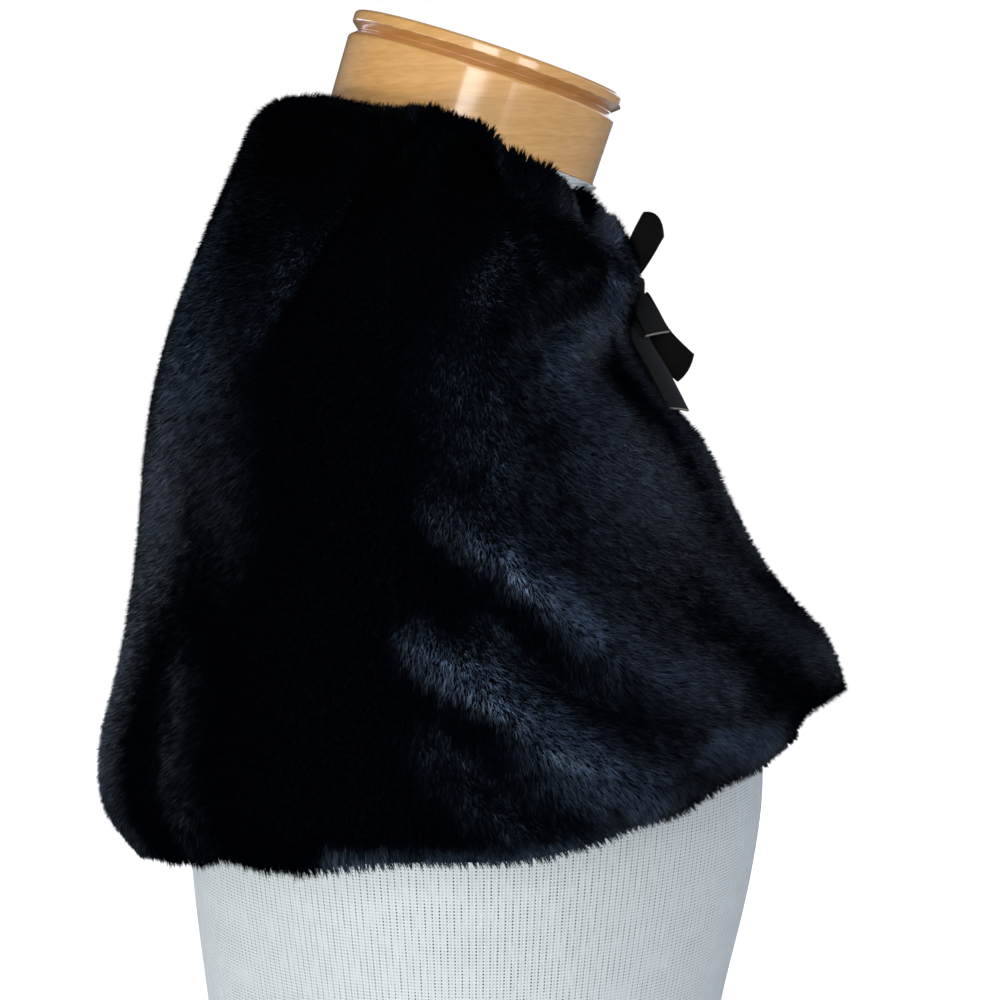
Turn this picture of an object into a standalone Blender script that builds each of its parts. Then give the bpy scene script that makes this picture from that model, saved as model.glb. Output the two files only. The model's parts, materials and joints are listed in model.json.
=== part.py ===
"""Short fur cape tied at the neck with a ribbon bow, shown on a dress form.

Metres, +Z up. The cape faces -Y, so its right side is at -X. The origin is on the floor, under the
middle of the part. The tables are in millimetres, which MM turns into metres.

The cape is three walls of fur cloth: a back and two fronts, sewn at the shoulders and down the sides.
A wall runs from the backing to the tips of the pile. It is worked out from rings around the body, one
ring a station, from station 0 at the neck edge to the last station at the hem. An angle goes round a
ring in degrees: 0 at the middle of the back, -90 at the right side, 90 at the left, 180 at the front.
"""

import math
from collections import namedtuple

import bmesh
import bpy
import numpy as np
from mathutils import Vector

MM = 0.001

# Cape cloth
WALL = 12 * MM  # backing, lining and pile together
EDGE_WALL = 3.5 * MM  # what is left of it at the rounded neck edge and hem
EDGE_ROUNDING = 1.0  # stations over which the wall rounds off at either edge
SEAM_GAP = 0.7 * MM
FRONT_EDGE_ANGLE = 175.0  # the fronts hang apart from here, wider towards the hem
SEAM_ANGLE_AT_NECK = 73.5
SEAM_ANGLE_AT_HEM = 84.0
THROUGH_WIDTH = 15.0  # a fold at least this wide, in millimetres, shapes the inside as well

# Ribbon
RIBBON_WIDTH = 13 * MM
RIBBON_WALL = 1 * MM
KNOTTED_SHARE = 0.4  # of the ribbon's width, where the knot gathers it
GATHER_POWER = 0.7  # below 1 the ribbon opens out soon after the knot
KNOT_ROUNDING = 2.55 * MM
TIE_SHARE = 0.6  # of the knot's height, where a tie goes into it

# Dress form
NECK_TILT = math.radians(18)
NECK_FOOT = Vector((0, 5.7 * MM, 560.4 * MM))
SEAT_GAP = 0.3 * MM

# How fine the walls are
CAPE_ROWS = 22
BACK_COLUMNS = 40
FRONT_COLUMNS = 24
FORM_COLUMNS = 36
FORM_ROWS_BUILT = 24
TURNED_STEPS = 40
RIBBON_COLUMNS = 3
LOOP_ROWS = 16
TAIL_SHORT_ROWS = 8
TAIL_LONG_ROWS = 12
TIE_COLUMNS = 2
TIE_ROWS = 4
KNOT_SEGMENTS = 3
MERGE_DISTANCE = 0.01 * MM
SHARP_ANGLE = math.radians(50)

# How far to either side a direction is measured, in degrees round a ring and in rows of a table
NEAR_ANGLE = 0.5
NEAR_ROW = 0.05

# Colours are linear red, green and blue
Finish = namedtuple("Finish", "name colour roughness metallic")
FUR_CLOTH = Finish("navy_fur", (0.006, 0.009, 0.018), 0.75, 0.0)
RIBBON_CLOTH = Finish("black_ribbon", (0.008, 0.008, 0.008), 0.6, 0.0)
FORM_KNIT = Finish("ivory_rib_knit", (0.72, 0.76, 0.76), 0.9, 0.0)
NECK_WOOD = Finish("varnished_wood", (0.62, 0.33, 0.12), 0.25, 0.0)

# The rings that the outside of the cape passes through, in millimetres. Heights are above the floor at
# the middle of the back, at the sides and at the middle of the front. Reaches are from the Z axis. The
# flares are how far the right and the left front edge stand forward of the ring.
CapeRing = namedtuple(
    "CapeRing", "back_height side_height front_height back front half_width right_flare left_flare"
)
CAPE_RINGS = (
    CapeRing(577, 563.5, 529, 65, 50, 64, 2, 2),
    CapeRing(579, 567.5, 526, 79, 56, 79, 2, 2),
    CapeRing(571, 562.5, 520, 90, 58.5, 99, 3, 3),
    CapeRing(556, 552, 510.5, 96, 60, 128, 4, 4),
    CapeRing(539, 539, 498, 101, 59.5, 160, 4, 4),
    CapeRing(518, 521, 481, 109, 59, 187, 5, 5),
    CapeRing(495, 496, 462, 117, 66, 203, 9, 7),
    CapeRing(469, 468, 442, 125, 78, 211, 12, 8),
    CapeRing(440, 438, 421, 130, 86, 216, 13, 8),
    CapeRing(411, 409, 401, 133, 94, 220, 15, 9),
    CapeRing(382, 382, 381, 136, 103, 223, 18, 9),
    CapeRing(353, 359, 362, 141, 112, 226, 20, 10),
    CapeRing(325, 340, 345, 149, 121, 228, 19, 10),
    CapeRing(302, 324, 329, 150, 126, 229, 18, 9),
    CapeRing(282, 312, 314, 137, 126, 228, 23, 8),
)
LAST_STATION = len(CAPE_RINGS) - 1
STATION_LENGTH = 26.0  # millimetres of cloth from one station to the next, near enough for the folds
DEGREE_LENGTH = 3.1  # millimetres of cloth to a degree round the cape, near enough for the folds
CHEST_SQUARENESS = 2.1  # 2 is an oval, more is flatter in front, behind and at the sides

# Folds of the cloth. Each runs from one angle and station to another, is that high or, below 0, that
# deep in the middle of its run, and has that half width, in millimetres.
Fold = namedtuple("Fold", "start_angle start end_angle end height half_width")
FOLDS = (
    # creases and rolls that spread from the neck edge over the shoulders
    Fold(-79, 1.6, -51, 6.8, -5.5, 12),
    Fold(-93, 1.6, -67, 6.8, 5.0, 17),
    Fold(-97, 2.0, -113, 5.6, -4.5, 11),
    Fold(-108, 1.6, -126, 5.2, 3.5, 15),
    Fold(-117, 2.0, -165, 4.1, -4.0, 11),
    Fold(-16, 1.2, -22, 6.2, -3.5, 13),
    Fold(20, 1.2, 25, 5.6, -3.5, 13),
    Fold(77, 1.6, 50, 6.4, -5.0, 12),
    Fold(92, 1.6, 66, 6.6, 4.5, 17),
    Fold(98, 2.0, 116, 5.4, -4.0, 11),
    Fold(120, 2.0, 163, 4.3, -4.0, 11),
    # drag folds across the fronts, from the tie and down from the sides
    Fold(-174, 3.3, -96, 6.0, 5.0, 14),
    Fold(-176, 4.8, -98, 7.3, -4.0, 15),
    Fold(-80, 7.8, -136, 11.8, 6.5, 18),
    Fold(-84, 9.0, -126, 11.6, -5.5, 15),
    Fold(-79, 9.3, -126, 13.6, 6.5, 18),
    Fold(173, 3.4, 98, 6.3, 5.0, 14),
    Fold(176, 5.0, 100, 7.6, -4.0, 15),
    Fold(84, 8.2, 134, 12.2, 6.0, 18),
    Fold(92, 10.0, 126, 12.6, -5.0, 16),
    Fold(82, 10.6, 118, 14.2, 5.5, 18),
    # soft flutes that fall to the hem
    Fold(-24, 4.6, -34, 8.4, 4.0, 19),
    Fold(-16, 7.6, -26, 18.0, 5.5, 22),
    Fold(-44, 8.4, -56, 18.0, -5.0, 19),
    Fold(-60, 9.0, -78, 18.0, 4.0, 19),
    Fold(6, 6.6, 3, 18.0, -4.5, 21),
    Fold(30, 5.6, 32, 18.0, 5.5, 22),
    Fold(52, 8.0, 57, 18.0, -5.0, 19),
    Fold(70, 9.0, 79, 18.0, 4.5, 19),
)

EDGE_FLARE_FROM_ANGLE = 148.0

# The right front's lower corner hangs higher than the left one.
CORNER_UP = 28 * MM
CORNER_FROM_ANGLE = 92.0
CORNER_TO_ANGLE = 160.0
CORNER_FROM = 9.0

# The rings that the dress form passes through, in millimetres. Each ring is flat and may slope.
FormRing = namedtuple("FormRing", "front_height back_height front back half_width")
FORM_RINGS = (
    FormRing(0, 0, 108, 131, 164),
    FormRing(30, 30, 109, 133, 168),
    FormRing(78, 78, 107, 128, 163),
    FormRing(120, 120, 102, 118, 149),
    FormRing(156, 156, 98, 110.5, 135),
    FormRing(188, 188, 97.5, 108, 127),
    FormRing(218, 218, 102, 111, 128),
    FormRing(252, 252, 111, 115.5, 137),
    FormRing(290, 290, 117.5, 118, 147.5),
    FormRing(318, 318, 118, 119, 153),
    FormRing(346, 346, 109, 119, 157),
    FormRing(376, 376, 91, 118, 160),
    FormRing(408, 408, 72, 116, 164),
    FormRing(441, 441, 56, 111, 169),
    FormRing(468, 472, 45, 104, 177),
    FormRing(491, 498, 41, 97, 180),
    FormRing(506, 520, 37, 90, 170),
    FormRing(520, 540, 36, 83, 147),
    FormRing(529, 554.8, 38, 76, 117),
    FormRing(536, 563.2, 41, 69, 87),
    FormRing(540, 569, 45, 62, 65.5),
    FormRing(542.5, 578.3, 49.4, 60.9, 58),
)
FORM_SQUARENESS = 2.0

# Half of the neck block's outline, from its axis at the top, as radius and height in millimetres
ProfilePoint = namedtuple("ProfilePoint", "radius height")
NECK_PROFILE = (
    ProfilePoint(0, 40.0),
    ProfilePoint(55.3, 40.0),
    ProfilePoint(56.8, 38.6),
    ProfilePoint(56.8, 35.4),
    ProfilePoint(53.2, 32.4),
    ProfilePoint(56.1, 30.0),
    ProfilePoint(56.6, 29.2),
    ProfilePoint(55.8, 0.0),
    ProfilePoint(0, 0.0),
)

# Middle lines of the bow's ribbon, as distance to the left, forward and above the floor in millimetres
RibbonPoint = namedtuple("RibbonPoint", "left forward height")
KNOT = RibbonPoint(-6, 64, 502.5)
KNOT_SIZE = Vector((10, 8.5, 8)) * MM
LOOP_UP = (
    RibbonPoint(-6, 66, 509.3),
    RibbonPoint(-9, 67.8, 514.5),
    RibbonPoint(-9.5, 70, 522),
    RibbonPoint(-5.5, 72.4, 529.2),
    RibbonPoint(-1.5, 70, 522),
    RibbonPoint(-0.5, 67.8, 514.5),
    RibbonPoint(-3, 66, 509.3),
)
LOOP_DOWN = (
    RibbonPoint(-5.5, 67.3, 497.2),
    RibbonPoint(-9.5, 70.5, 489.5),
    RibbonPoint(-11, 75.8, 479.2),
    RibbonPoint(-7, 84.9, 469.8),
    RibbonPoint(-2, 75.8, 479.2),
    RibbonPoint(-0.5, 70.5, 489.5),
    RibbonPoint(-2.5, 67.3, 497.2),
)
TAIL_SHORT = (
    RibbonPoint(-10.7, 66.7, 498.6),
    RibbonPoint(-17.5, 69.2, 493.6),
    RibbonPoint(-21, 71, 489),
    RibbonPoint(-23.5, 73, 484.2),
)
TAIL_LONG = (
    RibbonPoint(-9.5, 65.6, 497),
    RibbonPoint(-17, 67.8, 490.5),
    RibbonPoint(-23, 69, 483),
    RibbonPoint(-26.5, 73.5, 471),
    RibbonPoint(-27, 84, 456),
)
LOOP_UP_ACROSS = Vector((0, -0.50, -0.87))
LOOP_DOWN_ACROSS = Vector((0, -0.51, 0.86))
TAIL_ACROSS = Vector((0.72, -0.67, 0.17))

# Where each tie ribbon is sewn into a front edge, in stations
TIE_START = 3.62
TIE_END = 4.02


def smooth_step(low, high, value):
    """0 below low, 1 above high, and a smooth rise between them."""
    share = min(max((value - low) / (high - low), 0.0), 1.0)
    return share * share * (3 - 2 * share)


def on_rows(rows, at):
    """The values of a table at a row number that may lie between two rows, on a smooth curve."""
    first = min(int(at), len(rows) - 2)
    part = at - first
    before, low, high, after = (
        np.array(rows[min(max(first + step, 0), len(rows) - 1)], float) for step in (-1, 0, 1, 2)
    )
    return 0.5 * (
        2 * low
        + (high - before) * part
        + (2 * before - 5 * low + 4 * high - after) * part**2
        + (3 * low - before - 3 * high + after) * part**3
    )


def oval(angle, half_width, front, back, squareness):
    """A point of a ring seen from above: 0 degrees is at the back, on +Y."""
    side, along = math.sin(math.radians(angle)), math.cos(math.radians(angle))
    power = 2 / squareness
    reach = back if along > 0 else front
    return (
        half_width * math.copysign(abs(side) ** power, side),
        reach * math.copysign(abs(along) ** power, along),
    )


def seam_angle(station):
    """Where the shoulder and side seam lies, in degrees from the middle of the back."""
    share = station / LAST_STATION
    return SEAM_ANGLE_AT_NECK + (SEAM_ANGLE_AT_HEM - SEAM_ANGLE_AT_NECK) * share


def fold_height(angle, station, least_width=0.0):
    """How far the folds that are at least so wide lift the cloth there, in metres."""
    total = 0.0
    for fold in FOLDS:
        if fold.half_width < least_width:
            continue
        run = np.array(
            ((fold.end_angle - fold.start_angle) * DEGREE_LENGTH, (fold.end - fold.start) * STATION_LENGTH)
        )
        here = np.array(
            ((angle - fold.start_angle) * DEGREE_LENGTH, (station - fold.start) * STATION_LENGTH)
        )
        along = float(here @ run / (run @ run))
        aside = float(run[0] * here[1] - run[1] * here[0]) / math.hypot(*run)
        if 0 < along < 1:
            total += fold.height * math.sin(math.pi * along) * math.exp(-((aside / fold.half_width) ** 2))
    return total * MM


def edge_flare(angle, ring):
    """How far a front stands forward there, from nothing at its middle to all of it at its front edge."""
    beyond_edge = 2 * FRONT_EDGE_ANGLE - EDGE_FLARE_FROM_ANGLE
    at_edge = ring.right_flare if angle < 0 else ring.left_flare
    return 2 * at_edge * smooth_step(EDGE_FLARE_FROM_ANGLE, beyond_edge, abs(angle))


def corner_lift(angle, station):
    """How much higher the right front's lower corner hangs there."""
    towards_edge = smooth_step(CORNER_FROM_ANGLE, CORNER_TO_ANGLE, -angle)
    return CORNER_UP * towards_edge * smooth_step(CORNER_FROM, LAST_STATION, station)


def cape_plain(angle, station):
    """A point on the outside of the cape, before its folds."""
    ring = CapeRing(*on_rows(CAPE_RINGS, station))
    x, y = oval(angle, ring.half_width, ring.front, ring.back, CHEST_SQUARENESS)
    towards = math.cos(math.radians(angle)) ** 2
    end_height = ring.back_height if abs(angle) < 90 else ring.front_height
    z = ring.side_height + (end_height - ring.side_height) * towards
    return Vector((x, y - edge_flare(angle, ring), z)) * MM + Vector((0, 0, corner_lift(angle, station)))


def cape_outward(angle, station):
    """The direction straight out of the cape there."""
    low, high = max(station - NEAR_ROW, 0), min(station + NEAR_ROW, LAST_STATION)
    around = cape_plain(angle + NEAR_ANGLE, station) - cape_plain(angle - NEAR_ANGLE, station)
    down = cape_plain(angle, high) - cape_plain(angle, low)
    return around.cross(down).normalized()


def wall_at(station):
    """The wall's thickness, rounded off towards the neck edge and the hem."""
    from_edge = min(station, LAST_STATION - station) / EDGE_ROUNDING
    rounding = math.sqrt(max(1 - (1 - min(from_edge, 1)) ** 2, 0))
    return EDGE_WALL + (WALL - EDGE_WALL) * rounding


def cape_outside(angle, station):
    """A point on the outside of the cape, with its folds."""
    return cape_plain(angle, station) + cape_outward(angle, station) * fold_height(angle, station)


def cape_inside(angle, station):
    """A point on the inside of the cape, which only the wider folds shape."""
    lift = fold_height(angle, station, THROUGH_WIDTH) - wall_at(station)
    return cape_plain(angle, station) + cape_outward(angle, station) * lift


def material_of(finish):
    """The material with this finish, made once."""
    material = bpy.data.materials.get(finish.name)
    if material is None:
        material = bpy.data.materials.new(finish.name)
        material.use_nodes = True
        shader = material.node_tree.nodes["Principled BSDF"]
        shader.inputs["Base Color"].default_value = (*finish.colour, 1)
        shader.inputs["Roughness"].default_value = finish.roughness
        shader.inputs["Metallic"].default_value = finish.metallic
        material.diffuse_color = (*finish.colour, 1)
    return material


def add_object(name, mesh, finish, collection):
    """A named object with this mesh and finish, shaded smooth."""
    mesh.materials.append(material_of(finish))
    mesh.shade_smooth()
    mesh.set_sharp_from_angle(angle=SHARP_ANGLE)
    made = bpy.data.objects.new(name, mesh)
    collection.objects.link(made)
    return made


def wall(name, columns, rows, place, finish, collection):
    """A sheet with a thickness. place(across, down, side) gives its points: across and down go from 0 to
    1 over the sheet, and side is 0 on its inside and 1 on its outside."""
    build = bmesh.new()
    bmesh.ops.create_grid(build, x_segments=columns, y_segments=rows, size=0.5)
    inside = build.faces[:]
    raised = bmesh.ops.extrude_face_region(build, geom=inside, use_keep_orig=True)["geom"]
    bmesh.ops.translate(
        build, verts=[part for part in raised if isinstance(part, bmesh.types.BMVert)], vec=(0, 0, 1)
    )
    build.normal_update()
    rims = [face for face in build.faces if abs(face.normal.x) > 0.5]
    for point in build.verts:
        point.co = place(point.co.x + 0.5, 0.5 - point.co.y, round(point.co.z))
    build.normal_update()
    bmesh.ops.recalc_face_normals(build, faces=build.faces)
    # a rim is split about its middles, so that the two rims of a seam run side by side
    bmesh.ops.poke(build, faces=rims, center_mode="MEAN")
    bmesh.ops.triangulate(build, faces=build.faces, quad_method="SHORT_EDGE")
    mesh = bpy.data.meshes.new(name)
    build.to_mesh(mesh)
    build.free()
    return add_object(name, mesh, finish, collection)


def cape_panel(name, columns, first_angle, last_angle, collection):
    """One wall of the cape between two lines from neck to hem, given as angle(station)."""

    def place(across, down, side):
        station = down * LAST_STATION
        low, high = first_angle(station), last_angle(station)
        angle = low + (high - low) * across
        return cape_outside(angle, station) if side else cape_inside(angle, station)

    return wall(name, columns, CAPE_ROWS, place, FUR_CLOTH, collection)


def seam_clearance(station):
    """Half of the gap at a seam, in degrees at that station."""
    radius = on_rows(CAPE_RINGS, station)[CapeRing._fields.index("half_width")] * MM
    return math.degrees(SEAM_GAP / 2 / radius)


def make_cape(collection):
    """The back and the two fronts."""

    def behind(station):
        return seam_angle(station) - seam_clearance(station)

    def ahead(station):
        return seam_angle(station) + seam_clearance(station)

    cape_panel("cape_back", BACK_COLUMNS, lambda s: -behind(s), behind, collection)
    cape_panel("cape_front_right", FRONT_COLUMNS, lambda s: -FRONT_EDGE_ANGLE, lambda s: -ahead(s), collection)
    cape_panel("cape_front_left", FRONT_COLUMNS, ahead, lambda s: FRONT_EDGE_ANGLE, collection)


def make_form(collection):
    """The dress form's body: rings from its flat foot to its sloping neck, closed at both ends."""
    build = bmesh.new()
    bmesh.ops.create_grid(build, x_segments=FORM_COLUMNS, y_segments=FORM_ROWS_BUILT, size=0.5)
    for point in build.verts:
        ring = FormRing(*on_rows(FORM_RINGS, (point.co.y + 0.5) * (len(FORM_RINGS) - 1)))
        x, y = oval((point.co.x + 0.5) * 360, ring.half_width, ring.front, ring.back, FORM_SQUARENESS)
        slope = (ring.back_height - ring.front_height) / (ring.back + ring.front)
        point.co = Vector((x, y, ring.front_height + (y + ring.front) * slope)) * MM
    bmesh.ops.remove_doubles(build, verts=build.verts, dist=MERGE_DISTANCE)
    bmesh.ops.holes_fill(build, edges=[edge for edge in build.edges if edge.is_boundary], sides=0)
    bmesh.ops.recalc_face_normals(build, faces=build.faces)
    mesh = bpy.data.meshes.new("form_body")
    build.to_mesh(mesh)
    build.free()
    add_object("form_body", mesh, FORM_KNIT, collection)


def make_neck_block(collection):
    """The turned wooden block on the form's neck, with a grooved rim under its top."""
    mesh = bpy.data.meshes.new("neck_block")
    points = [(point.radius * MM, 0, point.height * MM) for point in NECK_PROFILE]
    mesh.from_pydata(points, [(i, i + 1) for i in range(len(points) - 1)], [])
    block = add_object("neck_block", mesh, NECK_WOOD, collection)
    turned = block.modifiers.new("turned", "SCREW")
    turned.axis = "Z"
    turned.angle = math.tau
    turned.steps = turned.render_steps = TURNED_STEPS
    turned.use_merge_vertices = True
    turned.merge_threshold = MERGE_DISTANCE
    block.rotation_euler = (NECK_TILT, 0, 0)
    axis = Vector((0, -math.sin(NECK_TILT), math.cos(NECK_TILT)))
    block.location = NECK_FOOT + axis * SEAT_GAP


def ribbon_place(point):
    """A ribbon point in the part's frame."""
    return Vector((point.left, -point.forward, point.height)) * MM


def ribbon_on_line(points, across, gathered, is_loop):
    """A place() for wall(): a ribbon along a middle line. gathered(down) is its share of full width. A
    loop's outside faces away from its middle."""
    last = len(points) - 1
    middle_of_all = sum((ribbon_place(point) for point in points), Vector()) / len(points)

    def place(share, down, side):
        at = down * last
        middle = ribbon_place(RibbonPoint(*on_rows(points, at)))
        ahead = ribbon_place(RibbonPoint(*on_rows(points, min(at + NEAR_ROW, last))))
        behind = ribbon_place(RibbonPoint(*on_rows(points, max(at - NEAR_ROW, 0))))
        outward = (ahead - behind).cross(across).normalized()
        if is_loop and outward.dot(middle - middle_of_all) < 0:
            outward.negate()
        reach = RIBBON_WIDTH * (share - 0.5) * gathered(down)
        return middle + across * reach + outward * RIBBON_WALL * side

    return place


def make_knot(collection):
    """The knot: a block with its edges rounded right over."""
    build = bmesh.new()
    bmesh.ops.create_cube(build, size=1)
    bmesh.ops.scale(build, verts=build.verts, vec=KNOT_SIZE)
    bmesh.ops.bevel(
        build,
        geom=build.edges[:],
        offset=KNOT_ROUNDING,
        segments=KNOT_SEGMENTS,
        profile=0.5,
        affect="EDGES",
    )
    mesh = bpy.data.meshes.new("bow_knot")
    build.to_mesh(mesh)
    build.free()
    knot = add_object("bow_knot", mesh, RIBBON_CLOTH, collection)
    knot.location = ribbon_place(KNOT)


def make_tie(name, edge_angle, towards_knot, collection):
    """A tie ribbon, from the middle of a front edge's wall to the side of the knot."""
    knot_side = ribbon_place(KNOT)
    knot_side.x -= towards_knot * (KNOT_SIZE.x / 2 + SEAT_GAP)

    def place(share, down, side):
        station = TIE_START + (TIE_END - TIE_START) * share
        sewn = (cape_outside(edge_angle, station) + cape_inside(edge_angle, station)) / 2
        sewn.x += towards_knot * SEAM_GAP
        tied = knot_side + Vector((0, 0, KNOT_SIZE.z * (0.5 - share) * TIE_SHARE))
        return sewn.lerp(tied, down) + Vector((0, RIBBON_WALL * (0.5 - side), 0))

    wall(name, TIE_COLUMNS, TIE_ROWS, place, RIBBON_CLOTH, collection)


def make_bow(collection):
    """The ribbon bow at the neck: its knot, loops, tails and the two ties that hold the fronts."""

    def gathered_both_ends(down):
        return KNOTTED_SHARE + (1 - KNOTTED_SHARE) * math.sin(math.pi * down) ** GATHER_POWER

    def gathered_at_knot(down):
        return KNOTTED_SHARE + (1 - KNOTTED_SHARE) * math.sin(math.pi * down / 2) ** GATHER_POWER

    make_knot(collection)
    loop_up = ribbon_on_line(LOOP_UP, LOOP_UP_ACROSS, gathered_both_ends, True)
    loop_down = ribbon_on_line(LOOP_DOWN, LOOP_DOWN_ACROSS, gathered_both_ends, True)
    tail_short = ribbon_on_line(TAIL_SHORT, TAIL_ACROSS, gathered_at_knot, False)
    tail_long = ribbon_on_line(TAIL_LONG, TAIL_ACROSS, gathered_at_knot, False)
    wall("bow_loop_up", RIBBON_COLUMNS, LOOP_ROWS, loop_up, RIBBON_CLOTH, collection)
    wall("bow_loop_down", RIBBON_COLUMNS, LOOP_ROWS, loop_down, RIBBON_CLOTH, collection)
    wall("bow_tail_short", RIBBON_COLUMNS, TAIL_SHORT_ROWS, tail_short, RIBBON_CLOTH, collection)
    wall("bow_tail_long", RIBBON_COLUMNS, TAIL_LONG_ROWS, tail_long, RIBBON_CLOTH, collection)
    make_tie("tie_right", -FRONT_EDGE_ANGLE, 1, collection)
    make_tie("tie_left", FRONT_EDGE_ANGLE, -1, collection)


def main():
    """Builds the whole part in an empty scene."""
    for old in list(bpy.data.objects):
        bpy.data.objects.remove(old)
    collection = bpy.data.collections.new("fur_cape_on_dress_form")
    bpy.context.scene.collection.children.link(collection)
    make_form(collection)
    make_neck_block(collection)
    make_cape(collection)
    make_bow(collection)


main()
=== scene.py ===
"""Looks of a short fur cape, tied at the neck with a ribbon bow, on a dress form.

Metres, +Z up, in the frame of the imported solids: the cape faces -Y and its right side is at -X. The tables of
the cape and the bow are in millimetres. An angle goes round the body in degrees: 0 at the middle of the back,
-90 at the right side, 90 at the left and 180 in front. A station goes down the cape, from 0 at the neck edge
to the last ring at the hem.
"""

from __future__ import annotations

import json
import logging
import math
from dataclasses import dataclass
from enum import Enum
from functools import partial
from typing import Any, Callable, NamedTuple

import bmesh
import bpy
import numpy as np
from mathutils import Matrix, Vector

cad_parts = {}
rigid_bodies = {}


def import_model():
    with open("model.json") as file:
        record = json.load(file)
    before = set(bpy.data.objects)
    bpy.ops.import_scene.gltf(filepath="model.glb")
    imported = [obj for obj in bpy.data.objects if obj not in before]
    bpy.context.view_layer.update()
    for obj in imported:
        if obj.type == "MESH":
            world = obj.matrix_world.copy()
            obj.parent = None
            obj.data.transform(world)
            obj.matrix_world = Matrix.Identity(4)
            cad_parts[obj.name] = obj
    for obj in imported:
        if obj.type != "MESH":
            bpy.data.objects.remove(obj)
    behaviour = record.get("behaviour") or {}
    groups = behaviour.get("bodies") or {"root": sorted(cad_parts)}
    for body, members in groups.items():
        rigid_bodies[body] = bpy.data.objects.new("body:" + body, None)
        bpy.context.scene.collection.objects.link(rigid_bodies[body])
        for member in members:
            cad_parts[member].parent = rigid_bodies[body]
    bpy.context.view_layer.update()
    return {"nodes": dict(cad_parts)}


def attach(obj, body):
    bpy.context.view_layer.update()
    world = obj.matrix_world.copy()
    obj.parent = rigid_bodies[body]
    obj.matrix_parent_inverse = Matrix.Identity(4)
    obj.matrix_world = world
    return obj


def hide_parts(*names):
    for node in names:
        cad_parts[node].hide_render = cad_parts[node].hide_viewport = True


log = logging.getLogger("fur_cape")

MM = 0.001
BODY = "root"
# a strand's tone holds the painted sheen, along with random tone
STRAND_MAP = "OFBake"  # a strand's UV map: its own tone across, and root to tip upwards
CLOTH_MAP = "cloth_mm"  # a woven piece's UV map, in millimetres
WHITE = (1.0, 1.0, 1.0, 1.0)
WAVE_BAND = 0.314  # how wide a Wave texture's bands are at scale 1
SHARP_EDGE = math.radians(60)  # a sheet's faces that meet at more than this have a sharp edge

Span = tuple[float, float]  # the ends of a range; a patch is absent at the first and full at the second
AddNode = Callable[..., bpy.types.Node]  # add_node, for one tree


class Slot(Enum):
    """The record's material slots."""

    FUR = "navy_fur"
    RIBBON = "black_ribbon"
    KNIT = "ivory_rib_knit"
    WOOD = "varnished_wood"


class Side(Enum):
    """A wearer's side, as the sign of its angles."""

    RIGHT = -1
    LEFT = 1


class CapeRing(NamedTuple):
    """One ring of the cape: heights above the floor, reaches from the Z axis, and the front edges' flare."""

    back_height: float
    side_height: float
    front_height: float
    back: float
    front: float
    half_width: float
    right_flare: float
    left_flare: float


class Fold(NamedTuple):
    """A ridge or, below 0, a trough of the cloth, from one angle and station to another."""

    start_angle: float
    start: float
    end_angle: float
    end: float
    height: float
    half_width: float


class SheenBand(NamedTuple):
    """A band of painted sheen, where the pile's tips are drawn lighter and more specular and pressed flatter,
    with how far it fades above and below its line.
    """

    start_angle: float
    start: float
    end_angle: float
    end: float
    gleam: float
    above: float
    below: float


class Patch(NamedTuple):
    """An amount on part of the cape, and the spans in which it sets in or fades."""

    amount: float
    angles: tuple[Span, ...] = ()  # from the middle of the back
    stations: tuple[Span, ...] = ()


class PanelEdge(NamedTuple):
    """An edge of a panel: the seam on one side, or that side's front edge."""

    side: Side
    at_front: bool = False


class RibbonPoint(NamedTuple):
    """A point on a ribbon's middle line: to the left, forward and above the floor."""

    left: float
    forward: float
    height: float


class ProfilePoint(NamedTuple):
    """A point on the turned neck block's outline."""

    radius: float
    height: float


CAPE_RINGS = (
    CapeRing(577, 563.5, 529, 65, 50, 64, 2, 2),
    CapeRing(579, 567.5, 526, 79, 56, 79, 2, 2),
    CapeRing(571, 562.5, 520, 90, 58.5, 99, 3, 3),
    CapeRing(556, 552, 510.5, 96, 60, 128, 4, 4),
    CapeRing(539, 539, 498, 101, 59.5, 160, 4, 4),
    CapeRing(518, 521, 481, 109, 59, 187, 5, 5),
    CapeRing(495, 496, 462, 117, 66, 203, 9, 7),
    CapeRing(469, 468, 442, 125, 78, 211, 12, 8),
    CapeRing(440, 438, 421, 130, 86, 216, 13, 8),
    CapeRing(411, 409, 401, 133, 94, 220, 15, 9),
    CapeRing(382, 382, 381, 136, 103, 223, 18, 9),
    CapeRing(353, 359, 362, 141, 112, 226, 20, 10),
    CapeRing(325, 340, 345, 149, 121, 228, 19, 10),
    CapeRing(302, 324, 329, 150, 126, 229, 18, 9),
    CapeRing(282, 312, 314, 137, 126, 228, 23, 8),
)
HEM = len(CAPE_RINGS) - 1  # the last ring's station
SHOULDERS = ((20, 36), (88, 78))  # angles where the neck edge stands highest

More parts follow.
